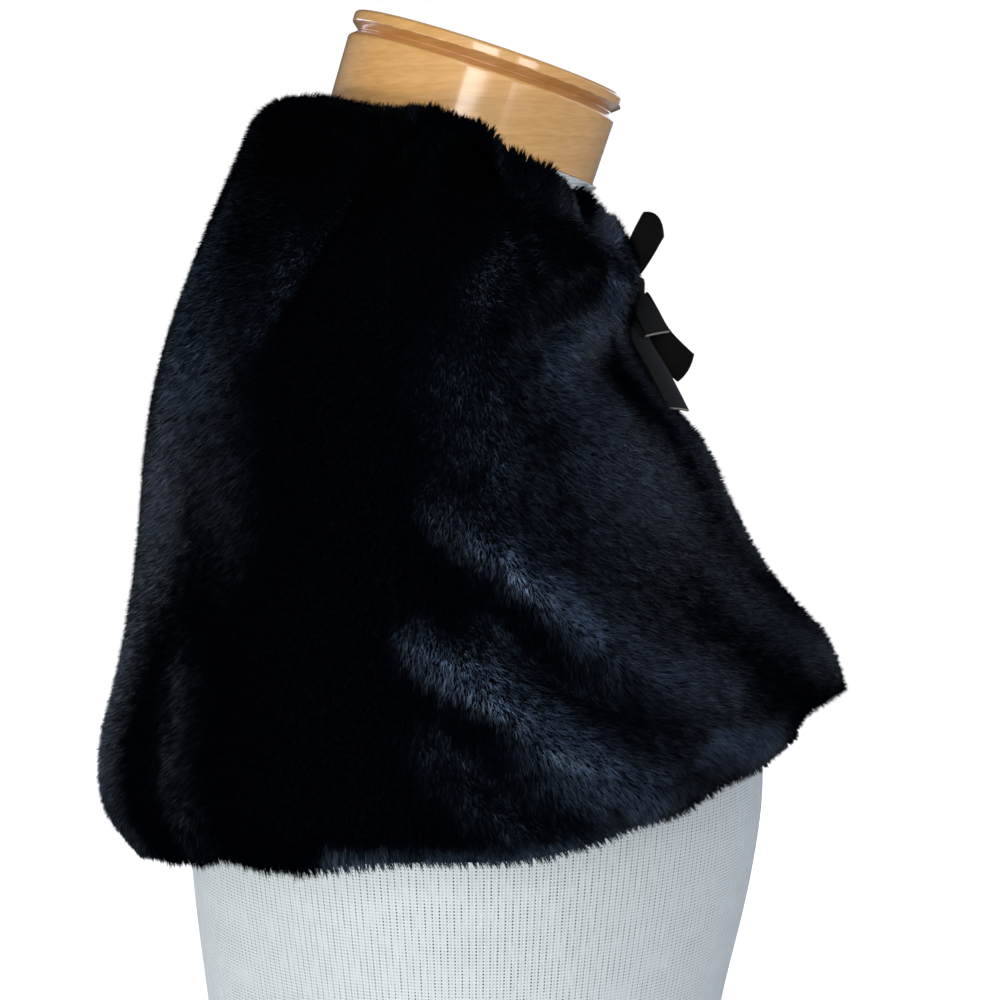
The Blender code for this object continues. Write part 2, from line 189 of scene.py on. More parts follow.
# Folds that the solids have too: creases from the neck, drag folds over the fronts, flutes to the hem
FOLDS = (
    Fold(-79, 1.6, -51, 6.8, -5.5, 12),
    Fold(-93, 1.6, -67, 6.8, 5.0, 17),
    Fold(-97, 2.0, -113, 5.6, -4.5, 11),
    Fold(-108, 1.6, -126, 5.2, 3.5, 15),
    Fold(-117, 2.0, -165, 4.1, -4.0, 11),
    Fold(-16, 1.2, -22, 6.2, -3.5, 13),
    Fold(20, 1.2, 25, 5.6, -3.5, 13),
    Fold(77, 1.6, 50, 6.4, -5.0, 12),
    Fold(92, 1.6, 66, 6.6, 4.5, 17),
    Fold(98, 2.0, 116, 5.4, -4.0, 11),
    Fold(120, 2.0, 163, 4.3, -4.0, 11),
    Fold(-174, 3.3, -96, 6.0, 5.0, 14),
    Fold(-176, 4.8, -98, 7.3, -4.0, 15),
    Fold(-80, 7.8, -136, 11.8, 6.5, 18),
    Fold(-84, 9.0, -126, 11.6, -5.5, 15),
    Fold(-79, 9.3, -126, 13.6, 6.5, 18),
    Fold(173, 3.4, 98, 6.3, 5.0, 14),
    Fold(176, 5.0, 100, 7.6, -4.0, 15),
    Fold(84, 8.2, 134, 12.2, 6.0, 18),
    Fold(92, 10.0, 126, 12.6, -5.0, 16),
    Fold(82, 10.6, 118, 14.2, 5.5, 18),
    Fold(-24, 4.6, -34, 8.4, 4.0, 19),
    Fold(-16, 7.6, -26, 18.0, 5.5, 22),
    Fold(-44, 8.4, -56, 18.0, -5.0, 19),
    Fold(-60, 9.0, -78, 18.0, 4.0, 19),
    Fold(6, 6.6, 3, 18.0, -4.5, 21),
    Fold(30, 5.6, 32, 18.0, 5.5, 22),
    Fold(52, 8.0, 57, 18.0, -5.0, 19),
    Fold(70, 9.0, 79, 18.0, 4.5, 19),
)

# Finer creases in the fur cloth, uneven as it hangs
CREASES = (
    Fold(-78, 1.2, -52, 6.5, -5.2, 5),
    Fold(-84, 1.4, -59, 6.2, 3.6, 8),
    Fold(-101, 3.9, -111, 5.4, -4.0, 5),
    Fold(-103, 2.0, -114, 5.6, 2.2, 8),
    Fold(-128, 2.0, -148, 4.6, -3.0, 7),
    Fold(-168, 3.5, -102, 5.7, 3.2, 9),
    Fold(-138, 5.1, -99, 6.6, -4.6, 7),
    Fold(-82, 7.9, -124, 10.9, 2.6, 8),
    Fold(-83, 9.0, -122, 11.2, -5.0, 7),
    Fold(-80, 9.4, -112, 12.6, 2.8, 8),
    Fold(-82, 10.6, -106, 13.6, -4.4, 8),
    Fold(-68, 10.2, -74, 15.0, -2.6, 10),
    Fold(-36, 9.6, -42, 15.0, -2.4, 9),
    Fold(-8, 3.0, -11, 7.4, -1.8, 8),
    Fold(13, 8.2, 16, 15.0, -2.4, 10),
    Fold(43, 9.0, 46, 15.0, -2.2, 9),
    Fold(77, 1.2, 54, 6.0, -3.2, 6),
    Fold(84, 1.5, 62, 5.6, 2.2, 8),
    Fold(99, 1.7, 114, 5.2, -3.0, 6),
    Fold(131, 2.2, 150, 4.7, -2.6, 7),
    Fold(163, 4.5, 106, 6.5, 2.6, 9),
    Fold(160, 5.2, 103, 7.0, -2.8, 8),
    Fold(86, 8.3, 124, 11.4, 2.2, 8),
    Fold(90, 9.8, 121, 12.3, -2.8, 8),
    Fold(83, 10.6, 112, 13.8, 2.4, 8),
)

# Painted sheen: bands where the pile's tips are drawn lighter and more specular, and pressed flatter; elsewhere
# the pile looks nearly black
SHEEN_BANDS = (
    SheenBand(-85, 8.4, -97, 8.95, 0.20, 8, 4),
    SheenBand(-98, 8.95, -112, 9.7, 1.00, 8, 5),
    SheenBand(-110, 9.6, -140, 11.5, 0.25, 18, 14),
    SheenBand(-83, 9.8, -93, 10.45, 0.72, 5, 7),
    SheenBand(-93, 10.35, -108, 11.9, 1.00, 12, 6),
    SheenBand(-94, 10.2, -104, 11.0, 0.42, 12, 8),
    SheenBand(-104, 11.5, -119, 13.3, 0.52, 18, 18),
    SheenBand(-134, 12.6, -150, 13.4, 0.68, 9, 14),
    SheenBand(-114, 6.3, -149, 4.9, 0.44, 6, 10),
    SheenBand(-106, 6.6, -138, 6.7, 0.18, 14, 14),
    SheenBand(-120, 7.6, -150, 7.8, 0.22, 20, 26),
    SheenBand(-112, 5.0, -132, 12.6, 0.08, 60, 46),
    SheenBand(-88, 6.8, -94, 8.2, 0.10, 22, 20),
    SheenBand(-98, 7.2, -104, 8.3, 0.12, 16, 16),
    SheenBand(-92, 5.6, -107, 4.8, 0.40, 9, 10),
    SheenBand(-131, 3.3, -156, 4.0, 0.42, 10, 9),
    SheenBand(-140, 4.5, -160, 4.5, 0.80, 10, 9),
    SheenBand(-146, 2.6, -160, 3.2, 0.28, 10, 10),
    SheenBand(-150, 1.8, -166, 3.4, 0.28, 12, 12),
    SheenBand(-98, 3.0, -110, 5.0, 0.15, 14, 3),
    SheenBand(-164, 5.4, -174, 9.0, 0.10, 20, 20),
    SheenBand(-158, 9.6, -170, 12.6, 0.14, 20, 20),
    SheenBand(-24, 4.4, -36, 6.7, 0.72, 24, 20),
    SheenBand(-26, 7.2, -28, 8.4, 0.20, 28, 26),
    SheenBand(-46, 4.4, -50, 8.4, 0.08, 22, 22),
    SheenBand(-18, 10.8, -23, 13.4, 0.26, 16, 16),
    SheenBand(-27, 8.6, -19, 11.0, 0.12, 20, 18),
    SheenBand(-8, 3.0, 4, 7.4, 0.14, 30, 26),
    SheenBand(6, 7.8, -4, 12.8, 0.15, 26, 30),
    SheenBand(-76, 1.6, -52, 6.4, 0.11, 44, 3),
    SheenBand(-10, 2.0, -40, 4.2, 0.09, 22, 18),
    SheenBand(-55, 5.0, -52, 6.3, 0.10, 9, 6),
    SheenBand(-40, 10.8, -46, 13.2, 0.07, 14, 14),
    SheenBand(-86, 11.4, -100, 13.7, 0.09, 12, 12),
    SheenBand(-72, 13.7, -112, 13.8, 0.30, 7, 6),
    SheenBand(22, 4.6, 36, 6.9, 0.64, 26, 22),
    SheenBand(26, 7.4, 29, 9.0, 0.20, 28, 26),
    SheenBand(16, 11.0, 22, 13.2, 0.24, 18, 16),
    SheenBand(27, 9.0, 17, 11.2, 0.11, 22, 20),
    SheenBand(76, 1.6, 51, 6.2, 0.12, 44, 3),
    SheenBand(8, 2.2, 38, 4.2, 0.10, 22, 18),
    SheenBand(86, 8.6, 114, 10.2, 0.75, 9, 4),
    SheenBand(110, 9.9, 140, 11.9, 0.26, 18, 14),
    SheenBand(84, 10.0, 110, 12.4, 0.80, 9, 5),
    SheenBand(104, 11.8, 121, 13.5, 0.55, 18, 16),
    SheenBand(114, 6.6, 148, 5.1, 0.42, 6, 10),
    SheenBand(122, 7.9, 148, 8.1, 0.20, 22, 24),
    SheenBand(112, 5.2, 132, 12.6, 0.08, 60, 46),
    SheenBand(88, 7.0, 94, 8.4, 0.10, 22, 20),
    SheenBand(131, 3.4, 156, 4.2, 0.42, 11, 9),
    SheenBand(150, 1.9, 166, 3.5, 0.34, 12, 12),
    SheenBand(158, 9.6, 170, 12.6, 0.14, 20, 20),
)


def linear(hex_colour: str) -> tuple[float, float, float, float]:
    """Turns an sRGB hex colour into the linear colour that sockets take.

    Args:
        hex_colour: six hex digits after a #.

    Returns:
        Linear red, green, blue and an alpha of 1.
    """
    parts = (int(hex_colour[i : i + 2], 16) / 255 for i in (1, 3, 5))
    red, green, blue = (c / 12.92 if c <= 0.04045 else ((c + 0.055) / 1.055) ** 2.4 for c in parts)
    return red, green, blue, 1.0


def fill(node: bpy.types.Node, inputs: dict[str | int, Any]) -> None:
    """Sets a node's inputs, or links them.

    Args:
        node: a node of a shader or geometry tree.
        inputs: by name or number, a value, another node's output, or a node, which gives its first output.
    """
    for key, value in inputs.items():
        if isinstance(value, bpy.types.Node):
            value = next(output for output in value.outputs if output.enabled)
        if isinstance(value, bpy.types.NodeSocket):
            node.id_data.links.new(value, node.inputs[key])
        else:
            node.inputs[key].default_value = value


def add_node(
    tree: bpy.types.NodeTree, kind: str, inputs: dict[str | int, Any], **settings: Any
) -> bpy.types.Node:
    """Adds a node.

    Args:
        tree: the shader or geometry tree.
        kind: the node's type.
        inputs: as fill() takes them.
        settings: the node's own properties.

    Returns:
        The new node.
    """
    node = tree.nodes.new(kind)
    for name, value in settings.items():
        setattr(node, name, value)
    fill(node, inputs)
    return node


def blank_material(name: str) -> tuple[bpy.types.Material, bpy.types.Node, AddNode]:
    """Makes a material.

    Args:
        name: the real material and its finish.

    Returns:
        The material, its Principled shader, and add_node for its tree.
    """
    material = bpy.data.materials.new(name)
    material.use_nodes = True
    tree = material.node_tree
    return material, tree.nodes["Principled BSDF"], partial(add_node, tree)


def smooth_step(low: float, high: float, value: np.ndarray) -> np.ndarray:
    """0 at low, 1 at high, and a smooth rise between; low may be above high."""
    share = np.clip((value - low) / (high - low), 0, 1)
    return share * share * (3 - 2 * share)


def patched(patches: tuple[Patch, ...], angle: np.ndarray, station: np.ndarray | float = 0.0) -> np.ndarray:
    """Adds up the amounts of some patches.

    Args:
        patches: the patches.
        angle: degrees from the middle of the back.
        station: stations, from wherever the patches count them.

    Returns:
        The total at each point.
    """
    total = np.zeros(np.shape(angle))
    for patch in patches:
        steps = [smooth_step(*span, angle) for span in patch.angles]
        steps += [smooth_step(*span, station) for span in patch.stations]
        total = total + patch.amount * math.prod(steps)
    return total


def rows_at(table: np.ndarray, at: np.ndarray) -> np.ndarray:
    """Reads a table between its rows, on a smooth curve.

    Args:
        table: one row for each station or point.
        at: row numbers, whole or not.

    Returns:
        The table's columns at those rows, in the last axis.
    """
    first = np.clip(np.floor(at).astype(int), 0, len(table) - 2)
    share = (at - first)[..., None]
    before, low, high, after = (table[np.clip(first + step, 0, len(table) - 1)] for step in (-1, 0, 1, 2))
    return 0.5 * (
        2 * low
        + (high - before) * share
        + (2 * before - 5 * low + 4 * high - after) * share**2
        + (3 * low - before - 3 * high + after) * share**3
    )


def ring_at(station: np.ndarray) -> CapeRing:
    """The cape's ring at some stations, whole or not, with an array in each column."""
    return CapeRing(*np.moveaxis(rows_at(np.array(CAPE_RINGS, float), station), -1, 0))


def unit(vectors: np.ndarray) -> np.ndarray:
    """The vectors, each made one long."""
    return vectors / np.maximum(np.linalg.norm(vectors, axis=-1, keepdims=True), 1e-12)


def link_mesh(name: str, mesh: bpy.types.Mesh) -> bpy.types.Object:
    """An object in the scene that shows this mesh."""
    made = bpy.data.objects.new(name, mesh)
    bpy.context.scene.collection.objects.link(made)
    return made


def smooth_mesh(name: str, build: bmesh.types.BMesh) -> bpy.types.Mesh:
    """Turns a build into a mesh with smooth shading, and frees it.

    Args:
        name: the mesh's name.
        build: what was built.

    Returns:
        The mesh.
    """
    mesh = bpy.data.meshes.new(name)
    build.to_mesh(mesh)
    build.free()
    mesh.shade_smooth()
    return mesh


def map_cloth(mesh: bpy.types.Mesh, flat: np.ndarray) -> None:
    """Gives a woven piece its UV map.

    Args:
        mesh: the piece's mesh.
        flat: where each of its points lies on the flat cloth, in millimetres.
    """
    numbers = np.empty(len(mesh.loops), dtype=np.int32)
    mesh.loops.foreach_get("vertex_index", numbers)
    mesh.uv_layers.new(name=CLOTH_MAP).data.foreach_set("uv", flat[numbers].astype(np.float32).ravel())


def grid_faces(rows: int, columns: int, first: int, flip: bool) -> list[tuple[int, ...]]:
    """The quads of a grid of points.

    Args:
        rows: points down.
        columns: points across.
        first: number of the grid's first point.
        flip: whether they face the other way.

    Returns:
        Four point numbers for each quad.
    """
    faces = []
    for row in range(rows - 1):
        for column in range(columns - 1):
            corner = first + row * columns + column
            face = (corner, corner + 1, corner + columns + 1, corner + columns)
            faces.append(face[::-1] if flip else face)
    return faces


def closed_sheet(name: str, outer: np.ndarray, inner: np.ndarray, flat: np.ndarray) -> bpy.types.Object:
    """Makes a closed sheet of cloth from the grids of its two sides.

    Args:
        name: the piece's name.
        outer: points of the outer side, rows by columns by 3.
        inner: the same for the inner side.
        flat: where each point lies on the flat cloth, in millimetres, for the UV map.

    Returns:
        The sheet's object, its faces pointing out.
    """
    rows, columns = outer.shape[:2]
    count = rows * columns
    faces = grid_faces(rows, columns, 0, False) + grid_faces(rows, columns, count, True)
    loop = list(range(columns))
    loop += [r * columns + columns - 1 for r in range(1, rows)]
    loop += [(rows - 1) * columns + c for c in range(columns - 2, -1, -1)]
    loop += [r * columns for r in range(rows - 2, 0, -1)]
    for here, ahead in zip(loop, loop[1:] + loop[:1]):
        faces.append((ahead, here, here + count, ahead + count))
    points = np.concatenate((outer.reshape(-1, 3), inner.reshape(-1, 3)))
    corners = points[np.array([face[:3] for face in faces])]
    volume = np.einsum("ij,ij->", corners[:, 0], np.cross(corners[:, 1], corners[:, 2]))
    if volume < 0:
        faces = [face[::-1] for face in faces]
    mesh = bpy.data.meshes.new(name)
    mesh.from_pydata(points.tolist(), [], faces)
    mesh.shade_smooth()
    mesh.set_sharp_from_angle(angle=SHARP_EDGE)
    map_cloth(mesh, np.tile(flat.reshape(-1, 2), (2, 1)))
    return link_mesh(name, mesh)


def settle(piece: bpy.types.Object, slot: Slot, *nodes: str) -> bpy.types.Object:
    """Puts a finished piece on the part's body.

    Args:
        piece: the piece, at the origin.
        slot: the record's slot for its finish; not used.
        nodes: the solids that it stands for.

    Returns:
        The same piece.
    """
    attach(piece, BODY)
    if nodes:
        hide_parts(*nodes)
    log.info("%s: %d faces", piece.name, len(piece.data.polygons))
    return piece


@dataclass(frozen=True)
class FurPile:
    """Modacrylic fur pile: black at its roots, with a cool navy gleam painted on: painted sheen as lighter tips
    and more specular where a strand's tone is high.
    """

    root: str = "#000001"
    dull_tip: str = "#010208"
    # painted sheen: the tips' colour where a strand's tone, which holds the painted sheen, is full
    bright_tip: str = "#0e1c2c"
    tip_power: float = 1.4  # above 1, a strand's colour stays near its root's for longer
    roughness: float = 0.45
    along_smoothness: float = 0.75
    dull_below: float = 0.07
    most_specular: float = 1.0
    gloss: float = 2.6
    gleam_tint: str = "#a2bfe4"
    sheen: float = 0.012
    sheen_roughness: float = 0.3
    sheen_tint: str = "#8fb4d6"

    def material(self) -> bpy.types.Material:
        """The pile's material, which reads each strand's own map."""
        material, shader, add = blank_material("modacrylic_fur_pile")
        place = add("ShaderNodeUVMap", {}, uv_map=STRAND_MAP)
        parts = add("ShaderNodeSeparateXYZ", {"Vector": place})
        tone, rise = parts.outputs["X"], parts.outputs["Y"]
        tip = add(
            "ShaderNodeMix",
            {"Factor": tone, "A": linear(self.dull_tip), "B": linear(self.bright_tip)},
            data_type="RGBA",
        )
        paling = add("ShaderNodeMath", {0: rise, 1: self.tip_power}, operation="POWER")
        colour = add("ShaderNodeMix", {"Factor": paling, "A": linear(self.root), "B": tip}, data_type="RGBA")
        # painted sheen: the specular level follows the strand's tone
        gleam = add(
            "ShaderNodeMapRange", {"Value": tone, "From Min": self.dull_below, "To Max": self.most_specular}
        )
        across = add("ShaderNodeTangent", {}, direction_type="UV_MAP", uv_map=STRAND_MAP)
        fill(
            shader,
            {
                "Base Color": colour,
                "Roughness": self.roughness,
                "Specular IOR Level": gleam,
                "IOR": self.gloss,
                "Specular Tint": linear(self.gleam_tint),
                "Anisotropic": self.along_smoothness,
                "Tangent": across,
                "Sheen Weight": self.sheen,
                "Sheen Roughness": self.sheen_roughness,
                "Sheen Tint": linear(self.sheen_tint),
            },
        )
        return material


@dataclass(frozen=True)
class FurBacking:
    """The knitted backing that the pile grows from: matt and nearly black, with fine stitches."""

    colour: str = "#010207"
    edge_colour: str = "#02040a"  # between stitches
    stitch: float = 1.6 * MM
    relief: float = 0.4 * MM
    bump: float = 0.4
    roughness: float = 0.9
    specular: float = 0.03

    def material(self) -> bpy.types.Material:
        """The backing's material, with stitches in Object space."""
        material, shader, add = blank_material("knitted_fur_backing")
        place = add("ShaderNodeTexCoord", {}).outputs["Object"]
        stitches = add("ShaderNodeTexVoronoi", {"Vector": place, "Scale": 1 / self.stitch})
        away = stitches.outputs["Distance"]
        shade = add(
            "ShaderNodeMix",
            {"Factor": away, "A": linear(self.colour), "B": linear(self.edge_colour)},
            data_type="RGBA",
        )
        raised = add(
            "ShaderNodeBump", {"Strength": self.bump, "Distance": self.relief, "Height": away}, invert=True
        )
        fill(
            shader,
            {
                "Base Color": shade,
                "Normal": raised,
                "Roughness": self.roughness,
                "Specular IOR Level": self.specular,
            },
        )
        return material


@dataclass(frozen=True)
class GrosgrainRibbon:
    """Woven polyester grosgrain: fine cross ribs give it a dull gleam, and its cut ends show pale threads."""

    name: str = "black_grosgrain_ribbon"
    colour: str = "#080909"
    rib_colour: str = "#101110"
    specular: float = 0.2
    thread: str = "#8f8c86"
    rib: float = 0.6  # millimetres; real ribs are finer, and would not show
    waver: float = 0.4
    waver_detail: float = 1.0
    thread_width: float = 0.5  # millimetres
    relief: float = 0.15 * MM
    bump: float = 0.5
    roughness: float = 0.6

    def material(self) -> bpy.types.Material:
        """The ribbon's material. Its map runs from 0 at a cut end, in millimetres."""
        material, shader, add = blank_material(self.name)
        place = add("ShaderNodeUVMap", {}, uv_map=CLOTH_MAP)
        wave = {"Scale": WAVE_BAND / self.rib, "Distortion": self.waver, "Detail": self.waver_detail}
        ribs = add("ShaderNodeTexWave", {"Vector": place, **wave}, bands_direction="Y").outputs["Fac"]
        cloth = add(
            "ShaderNodeMix",
            {"Factor": ribs, "A": linear(self.colour), "B": linear(self.rib_colour)},
            data_type="RGBA",
        )
        parts = add("ShaderNodeSeparateXYZ", {"Vector": place})
        at_end = add("ShaderNodeMath", {0: parts.outputs["Y"], 1: self.thread_width}, operation="LESS_THAN")
        colour = add(
            "ShaderNodeMix", {"Factor": at_end, "A": cloth, "B": linear(self.thread)}, data_type="RGBA"
        )
        raised = add("ShaderNodeBump", {"Strength": self.bump, "Distance": self.relief, "Height": ribs})
        fill(
            shader,
            {
                "Base Color": colour,
                "Normal": raised,
                "Roughness": self.roughness,
                "Specular IOR Level": self.specular,
            },
        )
        return material


@dataclass(frozen=True)
class RibKnit:
    """Bleached cotton rib knit, stretched over the form: matt, with columns of small stitch holes drawn in
    painted shade.
    """

    colour: str = "#edf4f5"
    # painted shade inside the stitch holes
    hole_shade: str = "#2c363d"
    ribs: int = 290  # round the form, about 2.7 mm each at the waist
    columns: int = 2  # of holes to a rib
    stitch: float = 1.3 * MM  # a quarter over the real one, which would blur
    oval: float = 1.35  # the form's width over its depth
    hole_size: Span = (0.6, 1.6)  # of the two waves' sum, which is 2 in the middle of a hole
    run: float = 9.0  # stitches over which a column's holes are alike
    noise_reach: Span = (0.36, 0.64)  # where most of a noise's values lie
    openness: Span = (0.3, 1.5)  # from the tightest holes to the most open
    # painted shade: the holes are drawn fainter in every other column, as the ribs turn
    rib_shade: float = 0.35  # half of how much fainter every other column of holes is
    fuzz: float = MM / 0.9  # from fibre to fibre
    fuzz_detail: float = 2.0
    hole_depth: float = 0.5  # over the fuzz's height
    relief: float = 0.35 * MM
    bump: float = 0.5
    roughness: float = 0.92
    specular: float = 0.2
    sheen: float = 0.1

    def material(self) -> bpy.types.Material:
        """The knit's material, in angles round the form and heights in Object space."""
        material, shader, add = blank_material("bleached_rib_knit")
        place = add("ShaderNodeTexCoord", {}).outputs["Object"]
        parts = add("ShaderNodeSeparateXYZ", {"Vector": place}).outputs
        # a narrower oval's angles give ribs as wide at the form's sides as at its front and back
        narrowing = 1 / math.sqrt(self.oval)
        narrowed = add("ShaderNodeMath", {0: parts["X"], 1: narrowing}, operation="MULTIPLY")
        turn = add("ShaderNodeMath", {0: narrowed, 1: parts["Y"]}, operation="ARCTAN2")
        across = add("ShaderNodeMath", {0: turn, 1: self.ribs}, operation="MULTIPLY")
        rib = add("ShaderNodeMath", {0: across}, operation="COSINE")
        finer = add("ShaderNodeMath", {0: across, 1: self.columns}, operation="MULTIPLY")
        column = add("ShaderNodeMath", {0: finer}, operation="COSINE")
        per_stitch = math.tau / self.stitch
        down = add("ShaderNodeMath", {0: parts["Z"], 1: per_stitch}, operation="MULTIPLY")
        stitch = add("ShaderNodeMath", {0: down}, operation="COSINE")
        both = add("ShaderNodeMath", {0: column, 1: stitch}, operation="ADD")
        rim, middle = self.hole_size
        spot = add(
            "ShaderNodeMapRange",
            {"Value": both, "From Min": rim, "From Max": middle},
            interpolation_type="SMOOTHSTEP",
        )
        per_column, per_run = self.columns / math.tau, 1 / math.tau / self.run
        which = add("ShaderNodeMath", {0: across, 1: per_column}, operation="MULTIPLY")
        along = add("ShaderNodeMath", {0: down, 1: per_run}, operation="MULTIPLY")
        runs = add("ShaderNodeCombineXYZ", {"X": which, "Y": along})
        worn = add("ShaderNodeTexNoise", {"Vector": runs, "Scale": 1.0}).outputs["Fac"]
        (low, high), (tight, slack) = self.noise_reach, self.openness
        opened = add(
            "ShaderNodeMapRange",
            {"Value": worn, "From Min": low, "From Max": high, "To Min": tight, "To Max": slack},
        )
        strength = add(
            "ShaderNodeMath", {0: rib, 1: self.rib_shade, 2: 1 - self.rib_shade}, operation="MULTIPLY_ADD"
        )
        # painted shade: how dark each stitch hole is drawn
        hole_shade = add("ShaderNodeMath", {0: spot, 1: opened}, operation="MULTIPLY")
        hole_shade = add("ShaderNodeMath", {0: hole_shade, 1: strength}, operation="MULTIPLY")
        colour = add(
            "ShaderNodeMix",
            {"Factor": hole_shade, "A": linear(self.colour), "B": linear(self.hole_shade)},
            data_type="RGBA",
        )
        fuzz = add(
            "ShaderNodeTexNoise", {"Vector": place, "Scale": 1 / self.fuzz, "Detail": self.fuzz_detail}
        )
        height = add(
            "ShaderNodeMath", {0: both, 1: -self.hole_depth, 2: fuzz.outputs["Fac"]}, operation="MULTIPLY_ADD"
        )
        raised = add("ShaderNodeBump", {"Strength": self.bump, "Distance": self.relief, "Height": height})
        fill(
            shader,
            {
                "Base Color": colour,
                "Normal": raised,
                "Roughness": self.roughness,
                "Specular IOR Level": self.specular,
                "Sheen Weight": self.sheen,
            },
        )
        return material


@dataclass(frozen=True)
class VarnishedWood:
    """Turned pale hardwood under gloss varnish: honey-coloured, with fine grain and clear reflections."""

    name: str = "varnished_turned_wood"
    pale: str = "#f3bf7a"
    dark: str = "#d8984e"
    ring: float = 7.0 * MM
    ring_share: float = 0.2  # of the grain's shade; fibres give the rest
    ring_waver: float = 5.0
    ring_detail: float = 3.0
    ring_detail_scale: float = 1.4
    fibre: float = 1.2 * MM
    fibre_detail: float = 4.0
    lean: tuple[float, float, float] = (0.31, 0.08, 0.0)  # radians
    stretch: tuple[float, float, float] = (0.25, 0.12, 1.0)  # the grain runs along the low ones
    shades: Span = (0.3, 1.1)
    relief: float = 0.2 * MM
    bump: float = 0.08
    roughness: float = 0.45
    varnish: float = 1.0
    varnish_roughness: float = 0.12

    def material(self) -> bpy.types.Material:
        """The wood's material, with growth rings and fibres in Object space."""
        material, shader, add = blank_material(self.name)
        place = add("ShaderNodeTexCoord", {}).outputs["Object"]
        along = add("ShaderNodeMapping", {"Vector": place, "Rotation": self.lean, "Scale": self.stretch})
        rings = add(
            "ShaderNodeTexWave",
            {
                "Vector": along,
                "Scale": WAVE_BAND / self.ring,
                "Distortion": self.ring_waver,
                "Detail": self.ring_detail,
                "Detail Scale": self.ring_detail_scale,
            },
            bands_direction="Z",
            wave_profile="SAW",
        ).outputs["Fac"]
        fibres = add(
            "ShaderNodeTexNoise", {"Vector": along, "Scale": 1 / self.fibre, "Detail": self.fibre_detail}
        ).outputs["Fac"]
        mixed = add("ShaderNodeMath", {0: rings, 1: self.ring_share, 2: fibres}, operation="MULTIPLY_ADD")
        low, high = self.shades
        grain = add("ShaderNodeMapRange", {"Value": mixed, "From Min": low, "From Max": high})
        colour = add(
            "ShaderNodeMix",
            {"Factor": grain, "A": linear(self.pale), "B": linear(self.dark)},
            data_type="RGBA",
        )
        raised = add("ShaderNodeBump", {"Strength": self.bump, "Distance": self.relief, "Height": fibres})
        fill(
            shader,
            {
                "Base Color": colour,
                "Normal": raised,
                "Roughness": self.roughness,
                "Coat Weight": self.varnish,
                "Coat Roughness": self.varnish_roughness,
            },
        )
        return material


@dataclass(frozen=True)
class StudioPaper:
    """Matt white paper under the part, which fades into the white backdrop."""

    colour: str = "#f6f6f5"
    mottle_colour: str = "#fafafa"
    mottle: float = 1 / 3  # metres
    mottle_detail: float = 2.0
    fade_from: float = 0.45
    fade_to: float = 0.95
    roughness: float = 0.95

    def material(self) -> bpy.types.Material:
        """The paper's material, very slightly mottled."""
        material, shader, add = blank_material("matt_white_paper")
        place = add("ShaderNodeTexCoord", {}).outputs["Object"]
        mottle = add(
            "ShaderNodeTexNoise", {"Vector": place, "Scale": 1 / self.mottle, "Detail": self.mottle_detail}
        )
        away = add("ShaderNodeVectorMath", {0: place}, operation="LENGTH")
        fading = add(
            "ShaderNodeMapRange",
            {"Value": away.outputs["Value"], "From Min": self.fade_from, "From Max": self.fade_to},
            interpolation_type="SMOOTHSTEP",
        )
        seen = add("ShaderNodeLightPath", {}).outputs["Is Camera Ray"]
        glow = add("ShaderNodeMath", {0: fading, 1: seen}, operation="MULTIPLY")
        colour = add(
            "ShaderNodeMix",
            {"Factor": mottle.outputs["Fac"], "A": linear(self.colour), "B": linear(self.mottle_colour)},
            data_type="RGBA",
        )
        fill(
            shader,
            {
                "Base Color": colour,
                "Emission Strength": glow,
                "Emission Color": WHITE,
                "Roughness": self.roughness,
            },
        )
        return material


